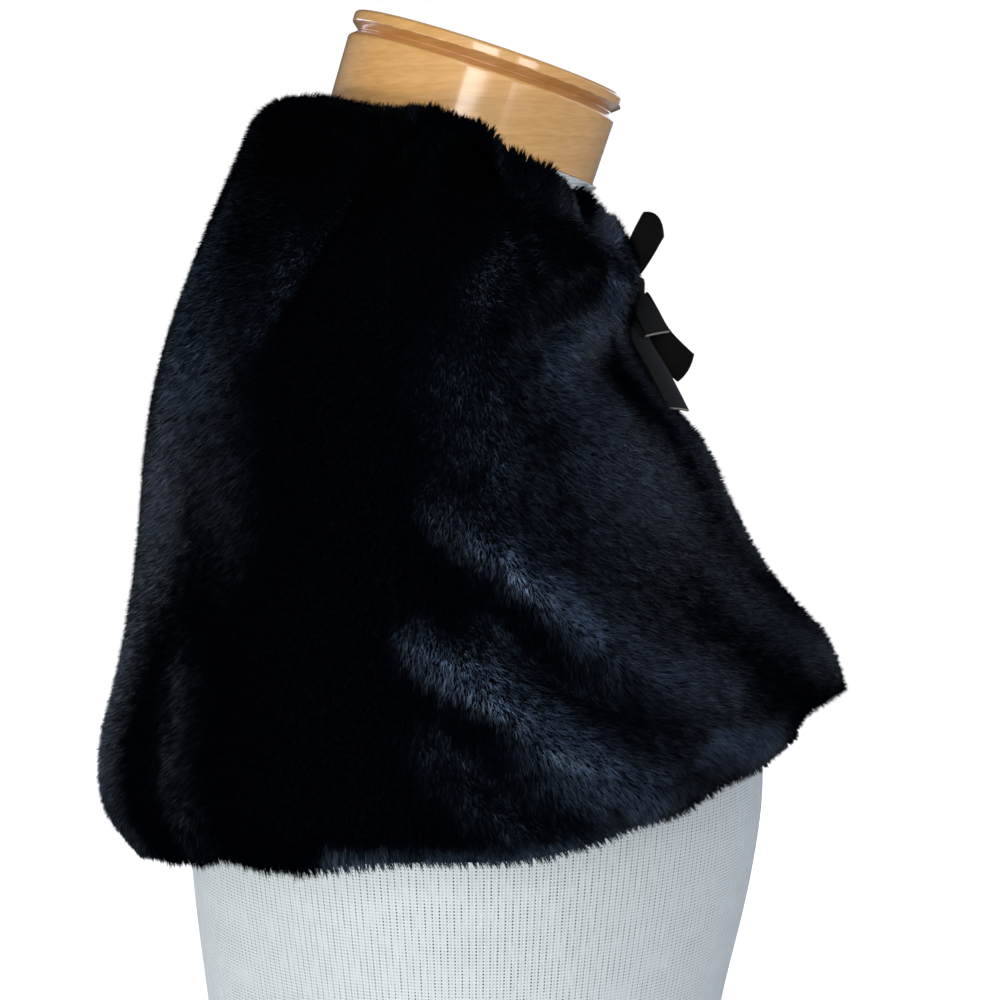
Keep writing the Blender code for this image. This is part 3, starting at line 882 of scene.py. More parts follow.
@dataclass(frozen=True)
class CapeDrape:
    """How the fur cloth hangs: rings round the body, with folds and creases laid over them."""

    squareness: float = 2.1
    wall: float = 12 * MM
    edge_wall: float = 3.5 * MM
    edge_rounding: float = 1.0  # stations
    station_length: float = 26.0  # millimetres
    degree_length: float = 3.1  # millimetres
    front_edge: float = 175.0
    flare_from: float = 148.0
    seam_at_neck: float = 73.5
    seam_at_hem: float = 84.0
    inner_fold: float = 15.0  # millimetres; narrower folds don't reach the inner side
    right_hem: tuple[Patch, ...] = (  # millimetres that the hem stands above its rings, or sags below them
        Patch(28, ((92, 160),), ((9, HEM),)),
        Patch(-4, ((114, 126), (166, 150)), ((10.5, HEM),)),
        Patch(-7, ((132, 149), (163, 150)), ((10.5, HEM),)),
    )
    left_hem: tuple[Patch, ...] = (
        Patch(-11.4, ((146, 163), (175, 165)), ((10.5, HEM),)),
        Patch(-0.6, ((146, 163),), ((10.5, HEM),)),
    )

    def seam(self, station: np.ndarray) -> np.ndarray:
        """The shoulder and side seam's angle from the middle of the back."""
        return self.seam_at_neck + (self.seam_at_hem - self.seam_at_neck) * station / HEM

    def plain(self, angle: np.ndarray, station: np.ndarray) -> np.ndarray:
        """Points of the cape's outside, before its folds.

        Args:
            angle: degrees round the body.
            station: stations down the cape.

        Returns:
            Points in metres, in the last axis.
        """
        ring = ring_at(station)
        side, along = np.sin(np.radians(angle)), np.cos(np.radians(angle))
        power = 2 / self.squareness
        reach = np.where(along > 0, ring.back, ring.front)
        flare = np.where(angle < 0, ring.right_flare, ring.left_flare)
        flare = 2 * flare * smooth_step(self.flare_from, 2 * self.front_edge - self.flare_from, np.abs(angle))
        end = np.where(np.abs(angle) < 90, ring.back_height, ring.front_height)
        hem = patched(self.right_hem, -angle, station) + patched(self.left_hem, angle, station)
        return np.stack(
            (
                ring.half_width * np.sign(side) * np.abs(side) ** power * MM,
                (reach * np.sign(along) * np.abs(along) ** power - flare) * MM,
                (ring.side_height + (end - ring.side_height) * along**2 + hem) * MM,
            ),
            axis=-1,
        )

    def outward(self, angle: np.ndarray, station: np.ndarray) -> np.ndarray:
        """The direction straight out of the cape, before its folds."""
        turn, step = 0.5, 0.05
        within = np.clip(station, step, HEM - step)
        around = self.plain(angle + turn, station) - self.plain(angle - turn, station)
        down = self.plain(angle, within + step) - self.plain(angle, within - step)
        return unit(np.cross(around, down))

    def lift(self, angle: np.ndarray, station: np.ndarray, folds: tuple[Fold, ...]) -> np.ndarray:
        """How far some folds lift the cloth.

        Args:
            angle: degrees round the body.
            station: stations down the cape.
            folds: rows of a fold table.

        Returns:
            Metres, outwards.
        """
        total = np.zeros(np.shape(angle))
        for fold in folds:
            along, aside, _ = self.along_band(angle, station, fold)
            swell = np.sin(math.pi * np.clip(along, 0, 1))
            total += fold.height * swell * np.exp(-((aside / fold.half_width) ** 2))
        return total * MM

    def along_band(
        self, angle: np.ndarray, station: np.ndarray, band: Fold | SheenBand
    ) -> tuple[np.ndarray, np.ndarray, float]:
        """Where points lie beside a band's line.

        Args:
            angle: degrees round the body.
            station: stations down the cape.
            band: a row of a fold or sheen band table.

        Returns:
            Their share of the line's length, millimetres from it, above 0 on its lower side, and its length.
        """
        run_x = (band.end_angle - band.start_angle) * self.degree_length
        run_y = (band.end - band.start) * self.station_length
        here_x = (angle - band.start_angle) * self.degree_length
        here_y = (station - band.start) * self.station_length
        length = math.hypot(run_x, run_y)
        along = (here_x * run_x + here_y * run_y) / length**2
        aside = math.copysign(1, run_x) * (run_x * here_y - run_y * here_x) / length
        return along, aside, length

    def gleam(self, angle: np.ndarray, station: np.ndarray) -> np.ndarray:
        """The painted sheen, from 0 to 1: how much the pile gleams, and how far it is pressed flat."""
        total = np.zeros(np.shape(angle))
        for sheen_band in SHEEN_BANDS:
            along, aside, length = self.along_band(angle, station, sheen_band)
            beyond = (along - np.clip(along, 0, 1)) * length
            reach = np.where(aside > 0, sheen_band.below, sheen_band.above)
            total += sheen_band.gleam * np.exp(-(aside**2 + beyond**2) / reach**2)
        return np.clip(total, 0, 1)

    def thickness(self, station: np.ndarray) -> np.ndarray:
        """The wall's thickness, rounded off towards the neck edge and the hem."""
        from_edge = np.clip(np.minimum(station, HEM - station) / self.edge_rounding, 0, 1)
        return self.edge_wall + (self.wall - self.edge_wall) * np.sqrt(1 - (1 - from_edge) ** 2)

    def outside(self, angle: np.ndarray, station: np.ndarray, depth: np.ndarray | float) -> np.ndarray:
        """Points at a depth below the tips of the pile, with all folds and creases."""
        lift = self.lift(angle, station, FOLDS + CREASES) - depth
        return self.plain(angle, station) + self.outward(angle, station) * lift[..., None]

    def inside(self, angle: np.ndarray, station: np.ndarray) -> np.ndarray:
        """Points of the backing's inner side, which the wider folds shape."""
        wide = tuple(fold for fold in FOLDS if fold.half_width >= self.inner_fold)
        lift = self.lift(angle, station, wide) - self.thickness(station)
        return self.plain(angle, station) + self.outward(angle, station) * lift[..., None]


class FurNodes(NamedTuple):
    """What several steps of the fur's tree read."""

    tree: bpy.types.NodeTree
    add: AddNode
    given: bpy.types.NodeOutputs  # the tree's inputs, by name
    fields: dict[str, bpy.types.Node]
    here: bpy.types.Node
    points: bpy.types.Node
    tuft_scale: bpy.types.Node
    tufts: bpy.types.Node
    core: bpy.types.Node  # 1 in the middle of a tuft, 0 at its rim
    chance: bpy.types.NodeOutputs  # X and Y are random numbers for each tuft


@dataclass(frozen=True)
class FurTree:
    """Geometry Nodes that set straight strands on a bed of cloth and gather them into tufts."""

    length: float = 3.9 * MM
    blade_width: float = 0.42 * MM
    lifts: tuple[float, ...] = (math.radians(36), math.radians(49), math.radians(62))
    rolls: tuple[float, ...] = (math.radians(-48), 0.0, math.radians(48))
    tuft: float = 1.3 * MM
    tuft_pull: float = 1.5
    tuft_core: Span = (0.56, 0.18)  # from a tuft's rim to its core, as shares of its width
    lock: float = 0.55  # a tuft's width over that of the locks along the cape's edges
    lock_hold: float = 0.65  # how much less strands stray in a lock
    sweep: float = 34 * MM
    sweep_detail: float = 2.5
    sweep_turn: float = 1.0
    stray: float = 0.26  # radians
    softness: float = 0.8  # how far strands are shaded as the cloth under them
    least_length: float = 0.52  # of a strand's full length, as the next three are
    core_length: float = 0.16  # more at a tuft's core
    tuft_spread: float = 0.3  # from tuft to tuft
    strand_spread: float = 0.2  # from strand to strand
    strand_tone: Span = (0.5, 0.85)  # from strand to strand
    tuft_tone: float = 0.7  # from tuft to tuft
    # painted shade: strands at a tuft's rim, towards the gaps between tufts, are drawn duller than at its core
    rim_tone: float = 0.4
    core_tone: float = 0.65  # more at a tuft's core
    blotch: float = 0.2  # a tuft's width over that of a lighter or darker blotch
    blotch_detail: float = 1.5
    blotch_noise: Span = (0.34, 0.66)  # where most of a noise's values lie
    blotch_tone: Span = (0.55, 1.35)
    least_tone: float = 0.03
    map_margin: float = 0.03  # keeps a strand inside its map
    map_half_width: float = 0.02

    def strand_shapes(self) -> bpy.types.Collection:
        """A collection of straight blades, one unit long, that lift off the cloth and roll by even steps."""
        shapes = bpy.data.collections.new("strand_shapes")
        half = self.blade_width / self.length / 2
        for lift in self.lifts:
            tip = np.array((math.cos(lift), 0, math.sin(lift)))
            upright = np.array((-math.sin(lift), 0, math.cos(lift)))
            for roll in self.rolls:
                aside = half * (math.cos(roll) * np.array((0, 1, 0)) + math.sin(roll) * upright)
                mesh = bpy.data.meshes.new(f"strand_{len(shapes.objects)}")
                mesh.from_pydata([tuple(p) for p in (-aside, tip, aside)], [], [(0, 1, 2)])
                mesh.attributes.new("along", "FLOAT", "POINT").data.foreach_set("value", (0, 1, 0))
                mesh.attributes.new("across", "FLOAT", "POINT").data.foreach_set("value", (-1, 0, 1))
                shapes.objects.link(bpy.data.objects.new(mesh.name, mesh))
        return shapes

    def start(self) -> FurNodes:
        """Opens the tree: its inputs, the points where strands stand, and their tufts."""
        tree = bpy.data.node_groups.new("fur_pile", "GeometryNodeTree")
        add = partial(add_node, tree)
        sizes = ("Density", "Length", "Tuft", "Tuft Pull", "Sweep", "Sweep Turn", "Stray")
        for name, kind in (
            ("Bed", "NodeSocketGeometry"),
            ("Strand Shapes", "NodeSocketCollection"),
            ("Material", "NodeSocketMaterial"),
            *((size, "NodeSocketFloat") for size in sizes),
            ("Seed", "NodeSocketInt"),
        ):
            tree.interface.new_socket(name=name, in_out="INPUT", socket_type=kind)
        tree.interface.new_socket(name="Fur", in_out="OUTPUT", socket_type="NodeSocketGeometry")
        given = add("NodeGroupInput", {}).outputs
        numbers = ("pile", "gleam", "thick", "lock", "press", "tone", "along", "across")
        kinds = {"comb": "FLOAT_VECTOR"} | dict.fromkeys(numbers, "FLOAT")
        fields = {
            name: add("GeometryNodeInputNamedAttribute", {"Name": name}, data_type=kind)
            for name, kind in kinds.items()
        }
        here = add("GeometryNodeInputPosition", {})
        density = add("ShaderNodeMath", {0: given["Density"], 1: fields["thick"]}, operation="MULTIPLY")
        points = add(
            "GeometryNodeDistributePointsOnFaces",
            {"Mesh": given["Bed"], "Density": density, "Seed": given["Seed"]},
        )
        tuft_scale = add("ShaderNodeMath", {0: 1.0, 1: given["Tuft"]}, operation="DIVIDE")
        tufts = add("ShaderNodeTexVoronoi", {"Vector": here, "Scale": tuft_scale})
        away, (rim, middle) = tufts.outputs["Distance"], self.tuft_core
        core = add(
            "ShaderNodeMapRange",
            {"Value": away, "From Min": middle, "From Max": rim, "To Min": 1.0, "To Max": 0.0},
            interpolation_type="SMOOTHSTEP",
        )
        chance = add("ShaderNodeSeparateXYZ", {"Vector": tufts.outputs["Color"]}).outputs
        return FurNodes(tree, add, given, fields, here, points, tuft_scale, tufts, core, chance)

    def lean(self, made: FurNodes) -> bpy.types.Node:
        """Which way each strand lies: combed, drawn to its tuft or lock, and swept."""
        add, given, here = made.add, made.given, made.here
        lock_scale = add("ShaderNodeMath", {0: made.tuft_scale, 1: self.lock}, operation="MULTIPLY")
        locks = add("ShaderNodeTexVoronoi", {"Vector": here, "Scale": lock_scale})
        middle = add(
            "ShaderNodeMix",
            {
                "Factor": made.fields["lock"],
                "A": made.tufts.outputs["Position"],
                "B": locks.outputs["Position"],
            },
            data_type="VECTOR",
        )
        to_middle = add("ShaderNodeVectorMath", {0: middle, 1: here}, operation="SUBTRACT")
        pull = add("ShaderNodeMath", {0: given["Tuft Pull"], 1: given["Length"]}, operation="DIVIDE")
        gathered = add("ShaderNodeVectorMath", {0: to_middle, "Scale": pull}, operation="SCALE")
        sweep_scale = add("ShaderNodeMath", {0: 1.0, 1: given["Sweep"]}, operation="DIVIDE")
        sweeps = add(
            "ShaderNodeTexNoise", {"Vector": here, "Scale": sweep_scale, "Detail": self.sweep_detail}
        )
        centred = add(
            "ShaderNodeVectorMath", {0: sweeps.outputs["Color"], 1: (0.5, 0.5, 0.5)}, operation="SUBTRACT"
        )
        swept = add("ShaderNodeVectorMath", {0: centred, "Scale": given["Sweep Turn"]}, operation="SCALE")
        lean = made.fields["comb"]
        for more in (gathered, swept):
            lean = add("ShaderNodeVectorMath", {0: lean, 1: more}, operation="ADD")
        return lean

    def rotation(self, made: FurNodes) -> bpy.types.Node:
        """How each strand is turned: along its lean, then pressed to the cloth and a little astray."""
        add, given, fields = made.add, made.given, made.fields
        laid = add(
            "FunctionNodeAxesToRotation",
            {"Primary Axis": made.points.outputs["Normal"], "Secondary Axis": self.lean(made)},
            primary_axis="Z",
            secondary_axis="X",
        )
        loose = add(
            "ShaderNodeMath", {0: fields["lock"], 1: -self.lock_hold, 2: 1.0}, operation="MULTIPLY_ADD"
        )
        most = add("ShaderNodeMath", {0: given["Stray"], 1: loose}, operation="MULTIPLY")
        least = add("ShaderNodeMath", {0: most, 1: -1.0}, operation="MULTIPLY")
        stray = add(
            "FunctionNodeRandomValue",
            {"Min": least, "Max": most, "Seed": given["Seed"]},
            data_type="FLOAT_VECTOR",
        )
        pressed = add("ShaderNodeCombineXYZ", {"Y": fields["press"]})
        euler = add("ShaderNodeVectorMath", {0: stray, 1: pressed}, operation="ADD")
        turned = add("FunctionNodeEulerToRotation", {"Euler": euler})
        return add(
            "FunctionNodeRotateRotation", {"Rotation": laid, "Rotate By": turned}, rotation_space="LOCAL"
        )

    def size(self, made: FurNodes) -> bpy.types.Node:
        """How long each strand is: by its place, its tuft and chance."""
        add, given = made.add, made.given
        full = add(
            "ShaderNodeMath",
            {0: made.core, 1: self.core_length, 2: self.least_length},
            operation="MULTIPLY_ADD",
        )
        least = add(
            "ShaderNodeMath", {0: made.chance["X"], 1: self.tuft_spread, 2: full}, operation="MULTIPLY_ADD"
        )
        most = add("ShaderNodeMath", {0: least, 1: self.strand_spread}, operation="ADD")
        size = add(
            "FunctionNodeRandomValue", {"Min": least, "Max": most, "Seed": given["Seed"]}, data_type="FLOAT"
        )
        for factor in (made.fields["pile"], given["Length"]):
            size = add("ShaderNodeMath", {0: size, 1: factor}, operation="MULTIPLY")
        return size

    def tone(self, made: FurNodes) -> bpy.types.Node:
        """How each strand gleams: by the painted sheen, its tuft, painted shade at its tuft's rim, its blotch
        and chance.
        """
        add = made.add
        least, most = self.strand_tone
        own = add(
            "FunctionNodeRandomValue",
            {"Min": least, "Max": most, "Seed": made.given["Seed"]},
            data_type="FLOAT",
        )
        tone = add(
            "ShaderNodeMath", {0: made.chance["Y"], 1: self.tuft_tone, 2: own}, operation="MULTIPLY_ADD"
        )
        # painted shade at each tuft's rim, between tufts
        rim_shading = add(
            "ShaderNodeMath", {0: made.core, 1: self.core_tone, 2: self.rim_tone}, operation="MULTIPLY_ADD"
        )
        blotch_scale = add("ShaderNodeMath", {0: made.tuft_scale, 1: self.blotch}, operation="MULTIPLY")
        blotches = add(
            "ShaderNodeTexNoise", {"Vector": made.here, "Scale": blotch_scale, "Detail": self.blotch_detail}
        ).outputs["Fac"]
        (low, high), (dark, light) = self.blotch_noise, self.blotch_tone
        blotch = add(
            "ShaderNodeMapRange",
            {"Value": blotches, "From Min": low, "From Max": high, "To Min": dark, "To Max": light},
        )
        for factor in (rim_shading, blotch, made.fields["gleam"]):
            tone = add("ShaderNodeMath", {0: tone, 1: factor}, operation="MULTIPLY")
        return add("ShaderNodeMath", {0: tone, 1: self.least_tone}, operation="ADD", use_clamp=True)

    def build(self) -> bpy.types.NodeTree:
        """The tree, with named inputs for its sizes."""
        made = self.start()
        add, given, fields = made.add, made.given, made.fields
        shapes = add(
            "GeometryNodeCollectionInfo",
            {"Collection": given["Strand Shapes"], "Separate Children": True, "Reset Children": True},
        )
        last_shape = len(self.lifts) * len(self.rolls) - 1
        which = add(
            "FunctionNodeRandomValue", {"Min": 0, "Max": last_shape, "Seed": given["Seed"]}, data_type="INT"
        )
        fur = add(
            "GeometryNodeInstanceOnPoints",
            {
                "Points": made.points.outputs["Points"],
                "Instance": shapes,
                "Pick Instance": True,
                "Instance Index": which,
                "Rotation": self.rotation(made),
                "Scale": self.size(made),
            },
        )
        for name, value, kind in (
            ("tone", self.tone(made), "FLOAT"),
            ("cloth_normal", made.points.outputs["Normal"], "FLOAT_VECTOR"),
        ):
            fur = add(
                "GeometryNodeStoreNamedAttribute",
                {"Geometry": fur, "Name": name, "Value": value},
                data_type=kind,
                domain="INSTANCE",
            )
        fur = add("GeometryNodeRealizeInstances", {"Geometry": fur})
        inset = add(
            "ShaderNodeMath",
            {0: fields["tone"], 1: 1 - 2 * self.map_margin, 2: self.map_margin},
            operation="MULTIPLY_ADD",
        )
        side = add(
            "ShaderNodeMath",
            {0: fields["across"], 1: self.map_half_width, 2: inset},
            operation="MULTIPLY_ADD",
        )
        place = add("ShaderNodeCombineXYZ", {"X": side, "Y": fields["along"]})
        fur = add(
            "GeometryNodeStoreNamedAttribute",
            {"Geometry": fur, "Name": STRAND_MAP, "Value": place},
            data_type="FLOAT2",
            domain="CORNER",
        )
        fur = add("GeometryNodeSetMaterial", {"Geometry": fur, "Material": given["Material"]})
        add("NodeGroupOutput", {"Fur": fur})
        return made.tree

    def grow(
        self,
        name: str,
        bed: bpy.types.Object,
        shapes: bpy.types.Collection,
        tree: bpy.types.NodeTree,
        material: bpy.types.Material,
        density: float,
        seed: int,
    ) -> bpy.types.Object:
        """Turns a bed into a plain mesh of fur, and removes the bed.

        Args:
            name: the fur piece's name.
            bed: an open grid with the attributes that the tree reads.
            shapes: the strands.
            tree: what build() made.
            material: the pile's material.
            density: strands to a square metre.
            seed: for everything random in this piece.

        Returns:
            The fur's object.
        """
        values = {
            "Strand Shapes": shapes,
            "Material": material,
            "Density": density,
            "Length": self.length,
            "Tuft": self.tuft,
            "Tuft Pull": self.tuft_pull,
            "Sweep": self.sweep,
            "Sweep Turn": self.sweep_turn,
            "Stray": self.stray,
            "Seed": seed,
        }
        grown = bed.modifiers.new("fur", "NODES")
        grown.node_group = tree
        for item in tree.interface.items_tree:
            if item.in_out == "INPUT" and item.name in values:
                grown[item.identifier] = values[item.name]
        evaluated = bed.evaluated_get(bpy.context.evaluated_depsgraph_get())
        mesh = bpy.data.meshes.new_from_object(evaluated)
        mesh.name = name
        bpy.data.objects.remove(bed)
        self.soften(mesh)
        return link_mesh(name, mesh)

    def soften(self, mesh: bpy.types.Mesh) -> None:
        """Turns the strands' normals towards those of the cloth, so that fur shades as one soft surface."""
        own = np.empty(len(mesh.vertices) * 3, dtype=np.float32)
        mesh.vertex_normals.foreach_get("vector", own)
        cloth = np.empty_like(own)
        mesh.attributes["cloth_normal"].data.foreach_get("vector", cloth)
        mixed = unit(self.softness * cloth.reshape(-1, 3) + (1 - self.softness) * own.reshape(-1, 3))
        mesh.normals_split_custom_set_from_vertices(mixed.tolist())
        for name in ("cloth_normal", "tone", "along", "across"):
            mesh.attributes.remove(mesh.attributes[name])


@dataclass(frozen=True)
class FurLay:
    """How the fur lies over the whole cape: where it ends, and how deep, long, thick and combed it is."""

    neck_start: float = 0.05
    neck_dips: tuple[Patch, ...] = (
        Patch(2.95, ((60, 116), (176, 152))),
        Patch(-1.0, ((116, 140), (172, 156))),
    )
    hem_end: float = 13.85
    hem_drops: tuple[Patch, ...] = (Patch(0.12, ((116, 136),)),)
    pile_rise: float = 3.0  # millimetres
    depths: tuple[Patch, ...] = (  # millimetres more, or less below 0
        Patch(-2.2, ((140, 164),), ((0.8, 2.4),)),
        Patch(0.9, ((140, 164),), ((3.4, 5.4),)),
        Patch(-2.9, ((140, 164),), ((6, 8),)),
        Patch(4.4, ((60, 20),), ((11.0, 13.5),)),
        Patch(-2.6, ((70, 45),), ((2.6, 4.4), (9.4, 7.4))),
        Patch(-2.4, SHOULDERS, ((2.2, 0.8),)),
    )
    leans: tuple[Patch, ...] = (  # degrees forward from straight down
        Patch(26, ((80, 110),)),
        Patch(-8, ((70, 30),)),
        Patch(40, ((166, 174),)),
    )
    combed_up: Span = (1.5, 0.5)  # stations below the neck edge
    neck_piles: tuple[Patch, ...] = (  # shares of the pile's length, with stations below the neck edge
        Patch(0.45, (), ((1.4, 0.2),)),
        Patch(0.4, SHOULDERS, ((1.4, 0.2),)),
    )
    piles: tuple[Patch, ...] = (  # the same, with stations below the cape's top
        Patch(0.6, ((18, 40), (84, 66)), ((12.8, 13.6),)),
        Patch(0.35, ((150, 168),), ((5.2, 3.6),)),
    )
    neck_band: Span = (1.2, 0.3)  # stations below the neck edge
    hem_band: Span = (13.0, 13.7)
    front_band: Span = (168, 173)
    band_thickening: float = 1.6
    hem_lock: float = 0.7  # how far strands gather into locks, with 1 along the neck
    front_lock: float = 0.6
    hem_press: float = 0.5  # radians towards the cloth
    flat_press: float = 0.22  # the same, where the pile gleams most

    def neck_line(self, angle: np.ndarray) -> np.ndarray:
        """The neck edge's station, which dips at the sides of the front."""
        return self.neck_start + patched(self.neck_dips, np.abs(angle))

    def hem_line(self, angle: np.ndarray) -> np.ndarray:
        """The hem's station, a little lower at the fronts."""
        return self.hem_end + patched(self.hem_drops, np.abs(angle))

    def depth(self, angle: np.ndarray, station: np.ndarray) -> np.ndarray:
        """How far the cloth lies under its pile's tips: less at the front edges, more at the back's hem."""
        return (self.pile_rise + patched(self.depths, np.abs(angle), station)) * MM

    def comb(
        self, angle: np.ndarray, station: np.ndarray, down: np.ndarray, around: np.ndarray
    ) -> np.ndarray:
        """Which way the pile lies.

        Args:
            angle: degrees round the body.
            station: stations down the cape.
            down: directions down the cloth.
            around: directions of growing angle.

        Returns:
            Directions, shorter where the pile parts.
        """
        forward = np.sign(angle)[..., None] * around
        lean = np.radians(patched(self.leans, np.abs(angle)))[..., None]
        combed = down * np.cos(lean) + forward * np.sin(lean)
        upwards = smooth_step(*self.combed_up, station - self.neck_line(angle))[..., None]
        return combed * (1 - upwards) - down * upwards

    def fields(self, angle: np.ndarray, station: np.ndarray, gleam: np.ndarray) -> dict[str, np.ndarray]:
        """The numbers that the fur's tree reads at each point of a bed.

        Args:
            angle: degrees round the body.
            station: stations down the cape.
            gleam: the painted sheen, which also presses the pile flatter.

        Returns:
            An array for each attribute's name.
        """
        around = np.abs(angle)
        below_neck = station - self.neck_line(angle)
        neck, hem = smooth_step(*self.neck_band, below_neck), smooth_step(*self.hem_band, station)
        front = smooth_step(*self.front_band, around)
        return {
            "pile": 1 + patched(self.neck_piles, around, below_neck) + patched(self.piles, around, station),
            "gleam": gleam,
            "thick": 1 + self.band_thickening * np.maximum(hem, np.maximum(neck, front)),
            "lock": np.maximum(neck, np.maximum(self.hem_lock * hem, self.front_lock * front)),
            "press": self.hem_press * hem + self.flat_press * gleam,
        }


@dataclass(frozen=True)
class FurPanel:
    """One cut piece of the cape, from edge to edge: its cloth, and the fur on it."""

    name: str
    node: str
    first: PanelEdge
    last: PanelEdge
    columns: int
    flat: tuple[float, float]
    cut_area: float
    halves: tuple[str, ...]  # the fur's pieces
    seed: int
    drape: CapeDrape = CapeDrape()
    lay: FurLay = FurLay()
    rows: int = 90
    strands: int = 160000  # for each fur piece, before its edges are thickened
    seam_gap: float = 0.7 * MM
    front_edge: float = 173.8

    def edge(self, edge: PanelEdge, towards: int, station: np.ndarray) -> np.ndarray:
        """The angle of one of the panel's edges.

        Args:
            edge: the edge.
            towards: which way the panel lies from it.
            station: stations down the cape.

        Returns:
            Angles in degrees.
        """
        if edge.at_front:
            return np.full(np.shape(station), edge.side.value * self.front_edge)
        gap = np.degrees(self.seam_gap / 2 / (ring_at(station).half_width * MM))
        return edge.side.value * self.drape.seam(station) + towards * gap

    def grid(self) -> tuple[np.ndarray, np.ndarray]:
        """The panel's angles and stations, rows by columns."""
        across = np.linspace(0, 1, self.columns)[None, :]
        down = np.linspace(0, 1, self.rows)[:, None] + 0 * across
        station = self.lay.neck_start + (self.lay.hem_end - self.lay.neck_start) * down
        for _ in range(2):
            low = self.edge(self.first, 1, station)
            high = self.edge(self.last, -1, station)
            angle = low + (high - low) * across
            start = self.lay.neck_line(angle)
            station = start + (self.lay.hem_line(angle) - start) * down
        return angle, station

    def cloth(self, material: bpy.types.Material) -> bpy.types.Object:
        """The backing: a thin closed shell under the pile."""
        angle, station = self.grid()
        outer = self.drape.outside(angle, station, self.lay.depth(angle, station))
        inner = self.drape.inside(angle, station)
        flat = np.stack((angle * self.drape.degree_length, -station * self.drape.station_length), axis=-1)
        piece = closed_sheet(self.name, outer, inner, flat)
        piece.data.materials.append(material)
        return settle(piece, Slot.FUR, self.node)

    def bed(self, name: str, angle: np.ndarray, station: np.ndarray) -> tuple[bpy.types.Object, float]:
        """An open grid for the fur to grow from.

        Args:
            name: the fur's name.
            angle: degrees round the body.
            station: stations down the cape.

        Returns:
            The grid's object, and its area in square metres.
        """
        points = self.drape.outside(angle, station, self.lay.depth(angle, station))
        down = np.gradient(points, axis=0)
        around = np.gradient(points, axis=1)
        comb = self.lay.comb(angle, station, unit(down), unit(around))
        rows, columns = angle.shape
        mesh = bpy.data.meshes.new(name)
        mesh.from_pydata(points.reshape(-1, 3).tolist(), [], grid_faces(rows, columns, 0, False))
        mesh.attributes.new("comb", "FLOAT_VECTOR", "POINT").data.foreach_set("vector", comb.ravel())
        gleam = self.drape.gleam(angle, station)
        for field, values in self.lay.fields(angle, station, gleam).items():
            mesh.attributes.new(field, "FLOAT", "POINT").data.foreach_set("value", values.ravel())
        area = sum(face.area for face in mesh.polygons)
        return link_mesh(name, mesh), area

    def fur(
        self,
        grower: FurTree,
        shapes: bpy.types.Collection,
        tree: bpy.types.NodeTree,
        material: bpy.types.Material,
    ) -> list[bpy.types.Object]:
        """The fur pieces on this panel, one for each of its halves.

        Args:
            grower: sets the strands.
            shapes: the strands.
            tree: the grower's tree.
            material: the pile's material.

        Returns:
            The fur pieces.
        """
        angle, station = self.grid()
        pieces = []
        split = np.linspace(0, self.columns - 1, len(self.halves) + 1).round().astype(int)
        for number, name in enumerate(self.halves):
            columns = slice(split[number], split[number + 1] + 1)
            bed, area = self.bed(name, angle[:, columns], station[:, columns])
            log.info("%s: bed of %.4f square metres", name, area)
            seed = self.seed + number
            fur = grower.grow(name, bed, shapes, tree, material, self.strands / area, seed)
            pieces.append(settle(fur, Slot.FUR))
        return pieces


@dataclass(frozen=True)
class FurCape:
    """The cape: a back and two fronts of fur cloth, sewn at the shoulders and down the sides."""

    panels: tuple[FurPanel, ...] = (
        FurPanel(
            name="fur_cloth_back",
            node="cape_back",
            first=PanelEdge(Side.RIGHT),
            last=PanelEdge(Side.LEFT),
            columns=140,
            flat=(0.56, 0.34),
            cut_area=0.145,
            halves=("fur_back_right", "fur_back_left"),
            seed=11,
        ),
        FurPanel(
            name="fur_cloth_front_right",
            node="cape_front_right",
            first=PanelEdge(Side.RIGHT, at_front=True),
            last=PanelEdge(Side.RIGHT),
            columns=80,
            flat=(0.28, 0.34),
            cut_area=0.062,
            halves=("fur_front_right",),
            seed=21,
        ),
        FurPanel(
            name="fur_cloth_front_left",
            node="cape_front_left",
            first=PanelEdge(Side.LEFT),
            last=PanelEdge(Side.LEFT, at_front=True),
            columns=80,
            flat=(0.28, 0.34),
            cut_area=0.062,
            halves=("fur_front_left",),
            seed=31,
        ),
    )

    def build(self) -> None:
        """Makes the cloth and the fur."""
        backing, pile = FurBacking().material(), FurPile().material()
        grower = FurTree()
        shapes, tree = grower.strand_shapes(), grower.build()
        for panel in self.panels:
            cloth = panel.cloth(backing)
            fur = panel.fur(grower, shapes, tree, pile)
        for shape in list(shapes.objects):
            bpy.data.objects.remove(shape)
        bpy.data.collections.remove(shapes)


